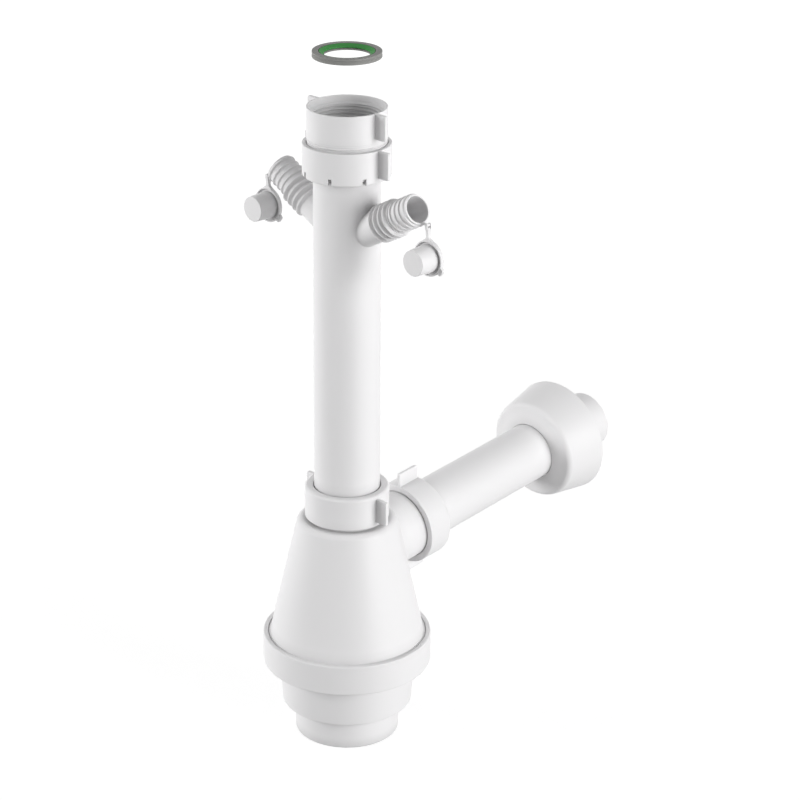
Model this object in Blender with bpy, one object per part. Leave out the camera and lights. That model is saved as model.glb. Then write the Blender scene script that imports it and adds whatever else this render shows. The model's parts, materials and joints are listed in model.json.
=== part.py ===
"""Bottle trap for a basin, G 1 1/2 x 40 mm, with two hose tails, plugs and a wall rose.

Metres, +Z up. The origin is the centre of the foot, on the floor. The dip tube stands on
the Z axis, the outlet pipe points along +Y and rises a little, and the hose tails point
along +X and -X. Threads are left out: each threaded pair meets at its crest radius.
"""

import math

import bmesh
import bpy

# Clearances
GAP = 0.0003
RUNNING_GAP = 0.0005

# Cup: foot, bowl and threaded collar in one moulding
FOOT_STEP = 0.0089
FOOT_HEIGHT = 0.0226
BOWL_TAPER = 0.0016
BOWL_HEIGHT = 0.0300
COLLAR_WALL = 0.0034
COLLAR_HEIGHT = 0.0210
CUP_SEAT_WIDTH = 0.0107
CUP_WALL = 0.0028
CUP_FLOOR = 0.0035
CUP_EDGE_RADIUS = 0.0010

# Flat seal between the cup and the bottle
CUP_SEAL_THICKNESS = 0.0030

# Bottle: skirt that screws into the cup, cone, shoulder and neck
SKIRT_RADIUS = 0.0535
SKIRT_WALL = 0.0030
CONE_STEP = 0.0011
CONE_HEIGHT = 0.0850
SHOULDER_LEDGE = 0.0077
SHOULDER_RADIUS = 0.0068
BOTTLE_WALL = 0.0028
NECK_WALL = 0.0037
NECK_LENGTH = 0.0159

# Dip tube with its flange
TUBE_RADIUS = 0.0219
TUBE_WALL = 0.0018
TUBE_RECESS = 0.0010
TUBE_RISE = 0.2243
TUBE_FLANGE_WIDTH = 0.0039
TUBE_FLANGE_THICKNESS = 0.0025

# Seals and slip rings that the nuts of the bottle and the outlet press
CONE_SEAL_DEPTH = 0.0075
CONE_SEAL_HEAD = 0.0028
CONE_SEAL_TIP = 0.0005
CONE_SEAL_MARGIN = 0.00112
SLIP_RING_THICKNESS = 0.0014

# Nut on the bottle's neck
BOTTLE_NUT_WALL = 0.0024
BOTTLE_NUT_STANDOFF = 0.0018
BOTTLE_NUT_PLATE = 0.0030
BOTTLE_NUT_EDGE_RADIUS = 0.0026
BOTTLE_WING_REACH = 0.0092
BOTTLE_WING_HEIGHT = 0.0168
BOTTLE_WING_DROP = 0.0024

# Nut that couples the dip tube to the inlet adapter
COUPLING_NUT_WALL = 0.0027
COUPLING_NUT_HEIGHT = 0.0213
COUPLING_NUT_PLATE = 0.0025
COUPLING_NUT_EDGE_RADIUS = 0.0018
COUPLING_WING_REACH = 0.0087
COUPLING_WING_HEIGHT = 0.0179
NOTCH_COUNT = 8
NOTCH_WIDTH = 0.0029
NOTCH_HEIGHT = 0.0044
NOTCH_DEPTH = 0.0022

# Inlet adapter: male thread below, female thread above
COUPLING_SEAL_THICKNESS = 0.0020
ADAPTER_MALE_LENGTH = 0.0179
ADAPTER_HEAD_HEIGHT = 0.0190
ADAPTER_HEAD_STEP = 0.0002
ADAPTER_LEDGE_WIDTH = 0.0025
ADAPTER_MOUTH_STEP = 0.0021
ADAPTER_MOUTH_DEPTH = 0.0042
ADAPTER_THREAD_DEPTH = 0.0160
ADAPTER_WING_REACH = 0.0087
ADAPTER_WING_HEIGHT = 0.0166

# Wings of all nuts
WING_THICKNESS = 0.0025
WING_CORNER = 0.0012
WING_ROOT = 0.0015

# Inlet seal, lifted off its seat in the adapter
SEAL_PLAY = 0.0004
SEAL_WIDTH = 0.0073
SEAL_THICKNESS = 0.0040
SEAL_LIFT = 0.0476
SEAL_WAIST_DEPTH = 0.0005
SEAL_WAIST_WIDTH = 0.0016
LIP_WIDTH = 0.0029
LIP_SINK = 0.0016
LIP_THICKNESS = 0.0011

# Hose tails on the dip tube
TAIL_DROP = 0.0438
TAIL_ANGLE = math.radians(29.0)
TAIL_BORE_RADIUS = 0.0086
TAIL_ROOT_WALL = 0.0021
TAIL_ROOT_LENGTH = 0.0130
LARGE_GROOVE_WALL = 0.0023
LARGE_RIDGE_DEPTH = 0.0016
LARGE_RIDGE_PITCH = 0.0046
LARGE_CREST_SHARE = 0.42
SMALL_GROOVE_WALL = 0.0015
SMALL_RIDGE_DEPTH = 0.0007
SMALL_RIDGE_PITCH = 0.0043
SMALL_CREST_SHARE = 0.30
RIDGE_COUNT = 4
RIM_WALL = 0.0013
RIM_LENGTH = 0.0005
RIGHT_LUG_LENGTH = 0.00455
LEFT_LUG_LENGTH = 0.00665
LUG_WIDTH = 0.0024
LUG_THICKNESS = 0.0010
LUG_PIN_RADIUS = 0.0012

# Blanking plugs, each on a strap
RIGHT_STRAP_LENGTH = 0.0215
LEFT_STRAP_LENGTH = 0.0203
STRAP_WIDTH = 0.0023
STRAP_THICKNESS = 0.0024
STRAP_FLARE_WIDTH = 0.0090
STRAP_TIP_WIDTH = 0.0013
PLUG_DISC_OVERHANG = 0.0019
PLUG_DISC_THICKNESS = 0.0030
PLUG_RIM_WIDTH = 0.0011
PLUG_RECESS_DEPTH = 0.0014
PLUG_END_PLAY = 0.0001
PLUG_TAPER = 0.0007
PLUG_LENGTH = 0.0132
PLUG_WALL = 0.0016
PLUG_TAB_ANGLE = math.radians(-36.0)
PLUG_TAB_REACH = 0.0026
PLUG_TAB_WIDTH = 0.0052
RIGHT_PLUG_LEAN = math.radians(2.8)
LEFT_PLUG_LEAN = 0.0

# Outlet: spigot on the bottle, nut, pipe and wall rose, measured along its own axis
OUTLET_DROP = 0.0288
OUTLET_RISE = math.radians(5.7)
SPIGOT_WALL = 0.0036
SPIGOT_REACH = 0.0136
SPIGOT_STOP = 0.0010
PIPE_RADIUS = 0.0203
PIPE_WALL = 0.0018
PIPE_INSERTION = 0.0180
PIPE_STUB = 0.0305
OUTLET_NUT_WALL = 0.0046
OUTLET_NUT_COVER = 0.0126
OUTLET_NUT_PLATE = 0.0030
OUTLET_NUT_SHOULDER = 0.0045
OUTLET_WING_REACH = 0.0095
OUTLET_WING_LENGTH = 0.0175
ROSE_DISTANCE = 0.1210
ROSE_DEPTH = 0.0325
ROSE_FACE_WIDTH = 0.0153
ROSE_FLARE = 0.0056
ROSE_FACE_SLOPE = 0.14
ROSE_EDGE_RADIUS = 0.0040
ROSE_WALL = 0.0016

# Facets around a full turn
ROUND_STEPS = 36
TAIL_STEPS = 20

# Radii of the cup, from the bottle's skirt inwards and outwards
CUP_BORE = SKIRT_RADIUS + GAP
COLLAR_RADIUS = CUP_BORE + COLLAR_WALL
BOWL_TOP_RADIUS = CUP_BORE - CUP_SEAT_WIDTH + CUP_WALL
BOWL_BOTTOM_RADIUS = BOWL_TOP_RADIUS - BOWL_TAPER
FOOT_RADIUS = BOWL_BOTTOM_RADIUS - FOOT_STEP

# Heights of the cup and the bottle, from the floor up
COLLAR_BOTTOM = FOOT_HEIGHT + BOWL_HEIGHT
COLLAR_TOP = COLLAR_BOTTOM + COLLAR_HEIGHT
CUP_SEAT = COLLAR_BOTTOM + CUP_WALL
SKIRT_BOTTOM = CUP_SEAT + CUP_SEAL_THICKNESS + 2 * GAP
SKIRT_TOP = COLLAR_TOP - GAP
SHOULDER_TOP = COLLAR_TOP + CONE_HEIGHT
NECK_TOP = SHOULDER_TOP + NECK_LENGTH
BOTTLE_NUT_BOTTOM = SHOULDER_TOP + BOTTLE_NUT_STANDOFF

# Radii of the bottle's neck and cone, from the dip tube outwards
TUBE_BORE = TUBE_RADIUS - TUBE_WALL
NECK_RADIUS = TUBE_RADIUS + NECK_WALL
NECK_SEAT_RADIUS = NECK_RADIUS - CONE_SEAL_MARGIN
BOTTLE_NUT_RADIUS = NECK_RADIUS + GAP + BOTTLE_NUT_WALL
CONE_BOTTOM_RADIUS = SKIRT_RADIUS - CONE_STEP
CONE_TOP_RADIUS = NECK_RADIUS + SHOULDER_LEDGE
CONE_SLOPE = (CONE_BOTTOM_RADIUS - CONE_TOP_RADIUS) / (SHOULDER_TOP - SKIRT_TOP)

# Heights and radii where the dip tube and the inlet adapter meet
TUBE_BOTTOM = SKIRT_BOTTOM + TUBE_RECESS
COUPLING_NUT_BOTTOM = NECK_TOP + TUBE_RISE
FLANGE_BOTTOM = COUPLING_NUT_BOTTOM + COUPLING_NUT_PLATE + GAP
FLANGE_TOP = FLANGE_BOTTOM + TUBE_FLANGE_THICKNESS
TUBE_FLANGE_RADIUS = TUBE_RADIUS + TUBE_FLANGE_WIDTH
ADAPTER_MALE_RADIUS = TUBE_FLANGE_RADIUS
ADAPTER_RADIUS = ADAPTER_MALE_RADIUS + ADAPTER_HEAD_STEP
COUPLING_NUT_RADIUS = ADAPTER_MALE_RADIUS + GAP + COUPLING_NUT_WALL
ADAPTER_BOTTOM = FLANGE_TOP + COUPLING_SEAL_THICKNESS + 2 * GAP
ADAPTER_STEP = ADAPTER_BOTTOM + ADAPTER_MALE_LENGTH
ADAPTER_TOP = ADAPTER_STEP + ADAPTER_HEAD_HEIGHT
ADAPTER_LEDGE = ADAPTER_TOP - ADAPTER_THREAD_DEPTH
ADAPTER_THREAD_BORE = TUBE_BORE + ADAPTER_LEDGE_WIDTH
ADAPTER_MOUTH_BORE = ADAPTER_THREAD_BORE + ADAPTER_MOUTH_STEP
SEAL_RADIUS = ADAPTER_THREAD_BORE - SEAL_PLAY
SEAL_HOLE_RADIUS = SEAL_RADIUS - SEAL_WIDTH
LIP_OUTER_RADIUS = SEAL_HOLE_RADIUS + LIP_WIDTH

# Lengths along a hose tail from the dip tube's axis, and its radii from the bore outwards
TAIL_HEIGHT = COUPLING_NUT_BOTTOM - TAIL_DROP
TAIL_TILT = math.pi / 2 - TAIL_ANGLE
TAIL_ROOT_END = TUBE_RADIUS + TAIL_ROOT_LENGTH
SMALL_RIDGES_START = TAIL_ROOT_END + RIDGE_COUNT * LARGE_RIDGE_PITCH
TAIL_LENGTH = SMALL_RIDGES_START + RIDGE_COUNT * SMALL_RIDGE_PITCH + RIM_LENGTH
TAIL_ROOT_RADIUS = TAIL_BORE_RADIUS + TAIL_ROOT_WALL
LARGE_GROOVE_RADIUS = TAIL_BORE_RADIUS + LARGE_GROOVE_WALL
LARGE_RIDGE_RADIUS = LARGE_GROOVE_RADIUS + LARGE_RIDGE_DEPTH
SMALL_GROOVE_RADIUS = TAIL_BORE_RADIUS + SMALL_GROOVE_WALL
SMALL_RIDGE_RADIUS = SMALL_GROOVE_RADIUS + SMALL_RIDGE_DEPTH
RIM_RADIUS = TAIL_BORE_RADIUS + RIM_WALL
MOUTH_WALL_MIDDLE = TAIL_BORE_RADIUS + RIM_WALL / 2
PLUG_DISC_RADIUS = RIM_RADIUS + PLUG_DISC_OVERHANG
PLUG_END_RADIUS = TAIL_BORE_RADIUS - PLUG_END_PLAY
PLUG_BASE_RADIUS = PLUG_END_RADIUS + PLUG_TAPER

# Places along the outlet's axis from the dip tube's axis, and its radii from the pipe outwards
OUTLET_HEIGHT = SHOULDER_TOP - OUTLET_DROP
SPIGOT_END = CONE_BOTTOM_RADIUS + SPIGOT_REACH
PIPE_START = SPIGOT_END - PIPE_INSERTION
OUTLET_NUT_FRONT = SPIGOT_END - OUTLET_NUT_COVER
ROSE_FRONT = SPIGOT_END + ROSE_DISTANCE
ROSE_BACK = ROSE_FRONT + ROSE_DEPTH
PIPE_END = ROSE_BACK + PIPE_STUB
PIPE_BORE = PIPE_RADIUS - PIPE_WALL
SPIGOT_RADIUS = PIPE_RADIUS + SPIGOT_WALL
SPIGOT_SEAT_RADIUS = SPIGOT_RADIUS - CONE_SEAL_MARGIN
OUTLET_NUT_RADIUS = SPIGOT_RADIUS + GAP + OUTLET_NUT_WALL
ROSE_FRONT_RADIUS = PIPE_RADIUS + ROSE_FACE_WIDTH
ROSE_BACK_RADIUS = ROSE_FRONT_RADIUS + ROSE_FLARE

WHITE_PLASTIC = ((0.86, 0.86, 0.85, 1.0), 0.35)
GREY_RUBBER = ((0.27, 0.27, 0.26, 1.0), 0.60)
GREEN_RUBBER = ((0.05, 0.27, 0.06, 1.0), 0.50)
BLACK_RUBBER = ((0.05, 0.05, 0.05, 1.0), 0.60)


def add_material(part, finish):
    """Give a part its own Principled material from a (colour, roughness) pair."""
    colour, roughness = finish
    material = bpy.data.materials.new(part.name)
    material.use_nodes = True
    shader = material.node_tree.nodes["Principled BSDF"]
    shader.inputs["Base Color"].default_value = colour
    shader.inputs["Roughness"].default_value = roughness
    shader.inputs["Metallic"].default_value = 0.0
    part.data.materials.append(material)


def add_part(name, shape, finish=WHITE_PLASTIC, parent=None, location=(0.0, 0.0, 0.0)):
    """Put a bmesh into the scene as a named, smooth-shaded object with its own material."""
    bmesh.ops.recalc_face_normals(shape, faces=shape.faces)
    mesh = bpy.data.meshes.new(name)
    shape.to_mesh(mesh)
    shape.free()
    mesh.shade_smooth()
    mesh.set_sharp_from_angle(angle=math.radians(30))
    part = bpy.data.objects.new(name, mesh)
    bpy.context.collection.objects.link(part)
    part.parent = parent
    part.location = location
    add_material(part, finish)
    return part


def add_axis(name, location, rotation):
    """An empty whose local +Z is the axis that its parts are turned about."""
    axis = bpy.data.objects.new(name, None)
    bpy.context.collection.objects.link(axis)
    axis.location = location
    axis.rotation_euler = rotation
    return axis


def combine(part, tool, operation):
    """Join a hidden tool shape to a part, or cut it away."""
    tool.hide_render = True
    tool.display_type = "WIRE"
    modifier = part.modifiers.new(tool.name, "BOOLEAN")
    modifier.operation = operation
    modifier.solver = "EXACT"
    modifier.object = tool


def turned(profile, steps=ROUND_STEPS):
    """Turn a closed profile of (radius, height) points about local Z."""
    shape = bmesh.new()
    corners = [shape.verts.new((radius, 0.0, height)) for radius, height in profile]
    edges = [shape.edges.new((corners[i - 1], corners[i])) for i in range(len(corners))]
    on_axis = [edge for edge in edges if all(corner.co.x == 0.0 for corner in edge.verts)]
    for edge in on_axis:
        shape.edges.remove(edge)
    bmesh.ops.spin(shape, geom=shape.verts[:] + shape.edges[:], cent=(0, 0, 0), axis=(0, 0, 1),
                   angle=2 * math.pi, steps=steps, use_merge=True, use_duplicate=False)
    bmesh.ops.remove_doubles(shape, verts=shape.verts, dist=0.000005)
    return shape


def plate(outline, thickness):
    """Extrude a closed outline of (x, z) points along local Y, centred on y = 0."""
    shape = bmesh.new()
    face = shape.faces.new([shape.verts.new((x, -thickness / 2, z)) for x, z in outline])
    extruded = bmesh.ops.extrude_face_region(shape, geom=[face])
    moved = [item for item in extruded["geom"] if isinstance(item, bmesh.types.BMVert)]
    bmesh.ops.translate(shape, verts=moved, vec=(0.0, thickness, 0.0))
    return shape


def arc(centre, radius, start, end, steps):
    """Points on an arc, with angles in degrees from the radial direction."""
    points = []
    for step in range(steps + 1):
        angle = math.radians(start + (end - start) * step / steps)
        points.append((centre[0] + radius * math.cos(angle), centre[1] + radius * math.sin(angle)))
    return points


def ring(inner, outer, bottom, top):
    """Profile of a plain washer."""
    return [(inner, bottom), (outer, bottom), (outer, top), (inner, top)]


def rod(radius, bottom, top):
    """Profile of a solid cylinder."""
    return [(0.0, bottom), (radius, bottom), (radius, top), (0.0, top)]


def wing_outline(inner, outer, bottom, top):
    """One wing seen from the side, with its two outer corners cut off."""
    return [(inner, bottom), (outer - WING_CORNER, bottom), (outer, bottom + WING_CORNER),
            (outer, top - WING_CORNER), (outer - WING_CORNER, top), (inner, top)]


def add_wings(part, radius, reach, bottom, top, quarter_turn=False):
    """Join two opposite wings to a nut, in the plane of local X or, turned, of local Y."""
    for side in (1, -1):
        outline = wing_outline(radius - WING_ROOT, radius + reach, bottom, top)
        wing = add_part(f"{part.name}_wing_{side}", plate(outline, WING_THICKNESS), parent=part)
        wing.rotation_euler.z = (math.pi if side < 0 else 0.0) + (math.pi / 2 if quarter_turn else 0.0)
        combine(part, wing, "UNION")


def make_cup():
    """Foot, bowl and collar as one thin-walled moulding, open at the top."""
    edge = CUP_EDGE_RADIUS
    profile = [(0.0, 0.0)]
    profile += arc((FOOT_RADIUS - edge, edge), edge, -90, 0, 2)
    profile += [(FOOT_RADIUS, FOOT_HEIGHT)]
    profile += [(BOWL_BOTTOM_RADIUS, FOOT_HEIGHT), (BOWL_TOP_RADIUS, COLLAR_BOTTOM)]
    profile += arc((COLLAR_RADIUS - edge, COLLAR_BOTTOM + edge), edge, -90, 0, 2)
    profile += arc((COLLAR_RADIUS - edge, COLLAR_TOP - edge), edge, 0, 90, 2)
    profile += [(CUP_BORE, COLLAR_TOP), (CUP_BORE, CUP_SEAT), (BOWL_TOP_RADIUS - CUP_WALL, CUP_SEAT)]
    profile += [(BOWL_BOTTOM_RADIUS - CUP_WALL, FOOT_HEIGHT + CUP_WALL)]
    profile += [(FOOT_RADIUS - CUP_WALL, FOOT_HEIGHT + CUP_WALL), (FOOT_RADIUS - CUP_WALL, CUP_FLOOR)]
    profile += [(0.0, CUP_FLOOR)]
    add_part("cup", turned(profile))


def make_cup_seal():
    """Flat seal on the cup's seat, under the bottle's skirt."""
    inner = BOWL_TOP_RADIUS - CUP_WALL + RUNNING_GAP
    profile = ring(inner, CUP_BORE - GAP, CUP_SEAT + GAP, SKIRT_BOTTOM - GAP)
    add_part("cup_seal", turned(profile), finish=BLACK_RUBBER)


def cone_radius(height):
    """Outer radius of the bottle's cone at a height."""
    return CONE_BOTTOM_RADIUS - CONE_SLOPE * (height - SKIRT_TOP)


def shoulder_arc(wall):
    """Round of the shoulder at a depth under the outer skin, from the cone to the flat top."""
    tilt = math.atan(CONE_SLOPE)
    centre_height = SHOULDER_TOP - SHOULDER_RADIUS
    touch_height = centre_height + SHOULDER_RADIUS * math.sin(tilt)
    centre_radius = cone_radius(touch_height) - SHOULDER_RADIUS * math.cos(tilt)
    centre = (centre_radius, centre_height)
    return arc(centre, SHOULDER_RADIUS - wall, math.degrees(tilt), 90, 4)


def make_bottle(outlet):
    """Bottle with its side spigot: outer forms joined, then the hollows cut."""
    seat_radius = TUBE_RADIUS + GAP + CONE_SEAL_TIP + GAP
    profile = [(0.0, SKIRT_BOTTOM), (SKIRT_RADIUS, SKIRT_BOTTOM), (SKIRT_RADIUS, SKIRT_TOP)]
    profile += [(CONE_BOTTOM_RADIUS, SKIRT_TOP)] + shoulder_arc(0.0)
    profile += [(NECK_RADIUS, SHOULDER_TOP), (NECK_RADIUS, NECK_TOP), (0.0, NECK_TOP)]
    bottle = add_part("bottle", turned(profile))

    spigot = add_part("spigot_form", turned(rod(SPIGOT_RADIUS, TUBE_RADIUS, SPIGOT_END)), parent=outlet)
    combine(bottle, spigot, "UNION")

    past = 0.002
    skirt_bore = SKIRT_RADIUS - SKIRT_WALL
    cone_wall = BOTTLE_WALL / math.cos(math.atan(CONE_SLOPE))
    hollow = [(0.0, SKIRT_BOTTOM - past), (skirt_bore, SKIRT_BOTTOM - past)]
    hollow += [(skirt_bore, SKIRT_TOP - BOTTLE_WALL), (CONE_BOTTOM_RADIUS - cone_wall, SKIRT_TOP)]
    hollow += shoulder_arc(BOTTLE_WALL)
    hollow += [(TUBE_RADIUS + RUNNING_GAP, SHOULDER_TOP - BOTTLE_WALL)]
    hollow += [(TUBE_RADIUS + RUNNING_GAP, NECK_TOP - CONE_SEAL_DEPTH - GAP)]
    hollow += [(seat_radius, NECK_TOP - CONE_SEAL_DEPTH - GAP), (NECK_SEAT_RADIUS, NECK_TOP)]
    hollow += [(NECK_SEAT_RADIUS, NECK_TOP + past), (0.0, NECK_TOP + past)]
    inside = add_part("bottle_hollow", turned(hollow))
    combine(bottle, inside, "DIFFERENCE")

    pipe_hole = PIPE_RADIUS + GAP
    seat_bottom = SPIGOT_END - CONE_SEAL_DEPTH - GAP
    bore = [(0.0, 0.0), (pipe_hole - SPIGOT_STOP, 0.0), (pipe_hole - SPIGOT_STOP, PIPE_START - GAP)]
    bore += [(pipe_hole, PIPE_START - GAP), (pipe_hole, seat_bottom)]
    bore += [(pipe_hole + CONE_SEAL_TIP + GAP, seat_bottom), (SPIGOT_SEAT_RADIUS, SPIGOT_END)]
    bore += [(SPIGOT_SEAT_RADIUS, SPIGOT_END + past), (0.0, SPIGOT_END + past)]
    passage = add_part("spigot_bore", turned(bore), parent=outlet)
    combine(bottle, passage, "DIFFERENCE")


def make_cone_seal(name, pipe_radius, seat_top_radius, mouth, parent=None):
    """Wedge seal: its cone sits in the seat and its head stands out of the mouth."""
    inner = pipe_radius + GAP
    bottom = mouth - CONE_SEAL_DEPTH
    profile = [(inner, bottom), (inner + CONE_SEAL_TIP, bottom), (seat_top_radius - GAP, mouth)]
    profile += [(seat_top_radius - GAP, mouth + CONE_SEAL_HEAD), (inner, mouth + CONE_SEAL_HEAD)]
    add_part(name, turned(profile), finish=BLACK_RUBBER, parent=parent)


def make_slip_ring(name, pipe_radius, outer, mouth, parent=None):
    """Thin washer that lets the nut turn without turning the seal."""
    bottom = mouth + CONE_SEAL_HEAD + GAP
    profile = ring(pipe_radius + RUNNING_GAP, outer, bottom, bottom + SLIP_RING_THICKNESS)
    add_part(name, turned(profile), parent=parent)


def make_bottle_nut():
    """Winged nut on the neck: threaded bore below, plate with the tube's hole above."""
    plate_bottom = NECK_TOP + CONE_SEAL_HEAD + SLIP_RING_THICKNESS + 2 * GAP
    top = plate_bottom + BOTTLE_NUT_PLATE
    bore = NECK_RADIUS + GAP
    hole = TUBE_RADIUS + RUNNING_GAP
    profile = [(bore, BOTTLE_NUT_BOTTOM), (BOTTLE_NUT_RADIUS, BOTTLE_NUT_BOTTOM)]
    edge = BOTTLE_NUT_EDGE_RADIUS
    profile += arc((BOTTLE_NUT_RADIUS - edge, top - edge), edge, 0, 90, 3)
    profile += [(hole, top), (hole, plate_bottom), (bore, plate_bottom)]
    nut = add_part("bottle_nut", turned(profile))
    wing_top = top - BOTTLE_WING_DROP
    add_wings(nut, BOTTLE_NUT_RADIUS, BOTTLE_WING_REACH, wing_top - BOTTLE_WING_HEIGHT, wing_top)


def make_coupling_nut():
    """Winged nut under the adapter: plate with the tube's hole below, notches round its foot."""
    bottom = COUPLING_NUT_BOTTOM
    top = bottom + COUPLING_NUT_HEIGHT
    bore = ADAPTER_MALE_RADIUS + GAP
    hole = TUBE_RADIUS + RUNNING_GAP
    plate_top = bottom + COUPLING_NUT_PLATE
    edge = COUPLING_NUT_EDGE_RADIUS
    profile = [(hole, bottom)] + arc((COUPLING_NUT_RADIUS - edge, bottom + edge), edge, -90, 0, 3)
    profile += [(COUPLING_NUT_RADIUS, top)]
    profile += [(bore, top), (bore, plate_top), (hole, plate_top)]
    nut = add_part("coupling_nut", turned(profile))
    add_wings(nut, COUPLING_NUT_RADIUS, COUPLING_WING_REACH, top - COUPLING_WING_HEIGHT, top)
    inner = COUPLING_NUT_RADIUS - NOTCH_DEPTH
    outer = COUPLING_NUT_RADIUS + NOTCH_DEPTH
    for index in range(NOTCH_COUNT):
        outline = [(inner, bottom - NOTCH_HEIGHT), (outer, bottom - NOTCH_HEIGHT),
                   (outer, bottom + NOTCH_HEIGHT), (inner, bottom + NOTCH_HEIGHT)]
        notch = add_part(f"notch_{index}", plate(outline, NOTCH_WIDTH), parent=nut)
        notch.rotation_euler.z = 2 * math.pi * (index + 0.5) / NOTCH_COUNT
        combine(nut, notch, "DIFFERENCE")


def make_coupling_seal():
    """Flat seal between the dip tube's flange and the adapter's foot."""
    profile = ring(TUBE_BORE, ADAPTER_MALE_RADIUS - GAP, FLANGE_TOP + GAP, ADAPTER_BOTTOM - GAP)
    add_part("coupling_seal", turned(profile), finish=BLACK_RUBBER)


def make_adapter():
    """Inlet adapter: the waste screws into its top, over a ledge for the inlet seal."""
    mouth_bottom = ADAPTER_TOP - ADAPTER_MOUTH_DEPTH
    profile = [(TUBE_BORE, ADAPTER_BOTTOM), (ADAPTER_MALE_RADIUS, ADAPTER_BOTTOM)]
    profile += [(ADAPTER_MALE_RADIUS, ADAPTER_STEP), (ADAPTER_RADIUS, ADAPTER_STEP)]
    profile += [(ADAPTER_RADIUS, ADAPTER_TOP), (ADAPTER_MOUTH_BORE, ADAPTER_TOP)]
    profile += [(ADAPTER_MOUTH_BORE, mouth_bottom), (ADAPTER_THREAD_BORE, mouth_bottom)]
    profile += [(ADAPTER_THREAD_BORE, ADAPTER_LEDGE), (TUBE_BORE, ADAPTER_LEDGE)]
    adapter = add_part("inlet_adapter", turned(profile))
    add_wings(adapter, ADAPTER_RADIUS, ADAPTER_WING_REACH, ADAPTER_TOP - ADAPTER_WING_HEIGHT, ADAPTER_TOP)


def make_inlet_seal():
    """Flat seal ring with a waist round its edge, and the softer lip in its hole."""
    bottom = ADAPTER_LEDGE + GAP + SEAL_LIFT
    top = bottom + SEAL_THICKNESS
    middle = bottom + SEAL_THICKNESS / 2
    lip_fall = LIP_SINK / (LIP_OUTER_RADIUS - SEAL_HOLE_RADIUS)
    seat_drop = LIP_THICKNESS + GAP
    seat_inner = top - LIP_SINK - seat_drop
    profile = [(SEAL_HOLE_RADIUS, bottom), (SEAL_RADIUS, bottom)]
    profile += [(SEAL_RADIUS, middle - SEAL_WAIST_WIDTH / 2), (SEAL_RADIUS - SEAL_WAIST_DEPTH, middle)]
    profile += [(SEAL_RADIUS, middle + SEAL_WAIST_WIDTH / 2), (SEAL_RADIUS, top)]
    profile += [(LIP_OUTER_RADIUS + GAP, top)]
    profile += [(LIP_OUTER_RADIUS + GAP, top - seat_drop + GAP * lip_fall), (SEAL_HOLE_RADIUS, seat_inner)]
    add_part("inlet_seal_ring", turned(profile), finish=GREY_RUBBER)
    lip = [(SEAL_HOLE_RADIUS, top - LIP_SINK - LIP_THICKNESS), (LIP_OUTER_RADIUS, top - LIP_THICKNESS)]
    lip += [(LIP_OUTER_RADIUS, top), (SEAL_HOLE_RADIUS, top - LIP_SINK)]
    add_part("inlet_seal_lip", turned(lip), finish=GREEN_RUBBER)


def ridge_profile(start, pitch, crest, groove, crest_share):
    """Rounded ridges along a hose tail, one pitch each: a crest between two equal slopes."""
    points = []
    for index in range(RIDGE_COUNT):
        middle = start + (index + 0.5) * pitch
        half = crest_share * pitch / 2
        slope = 0.8 * (crest - groove)
        points += [(groove, middle - half - slope), (crest, middle - half)]
        points += [(crest, middle + half), (groove, middle + half + slope)]
    return points


def make_tail_form(name, axis):
    """Outer form of a stepped hose tail: smooth root, large ridges, small ridges and rim."""
    profile = [(0.0, 0.0), (TAIL_ROOT_RADIUS, 0.0), (TAIL_ROOT_RADIUS, TAIL_ROOT_END)]
    profile += ridge_profile(TAIL_ROOT_END, LARGE_RIDGE_PITCH, LARGE_RIDGE_RADIUS, LARGE_GROOVE_RADIUS,
                             LARGE_CREST_SHARE)
    profile += ridge_profile(SMALL_RIDGES_START, SMALL_RIDGE_PITCH, SMALL_RIDGE_RADIUS, SMALL_GROOVE_RADIUS,
                             SMALL_CREST_SHARE)
    profile += [(RIM_RADIUS, TAIL_LENGTH), (0.0, TAIL_LENGTH)]
    return add_part(name, turned(profile, TAIL_STEPS), parent=axis)


def under_tail(along, below):
    """Point under a tail's axis: its distance from the tube's axis, and its height."""
    reach = along * math.cos(TAIL_ANGLE) + below * math.sin(TAIL_ANGLE)
    height = TAIL_HEIGHT + along * math.sin(TAIL_ANGLE) - below * math.cos(TAIL_ANGLE)
    return reach, height


def make_lug(name, side, length):
    """Level bar that runs out from the lowest point of a tail's rim to the strap's round pin."""
    half = LUG_THICKNESS / 2
    reach, height = under_tail(TAIL_LENGTH, MOUTH_WALL_MIDDLE)
    opening = 180 - math.degrees(math.asin(half / LUG_PIN_RADIUS))
    outline = [under_tail(TAIL_LENGTH - LUG_THICKNESS, MOUTH_WALL_MIDDLE - 0.8 * half)]
    outline += [under_tail(TAIL_LENGTH - LUG_THICKNESS, MOUTH_WALL_MIDDLE + 0.8 * half)]
    outline += [(reach, height - half)]
    outline += arc((reach + length, height), LUG_PIN_RADIUS, -opening, opening, 9)
    outline += [(reach, height + half)]
    return add_part(name, plate([(side * x, z) for x, z in outline], LUG_WIDTH))


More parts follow.
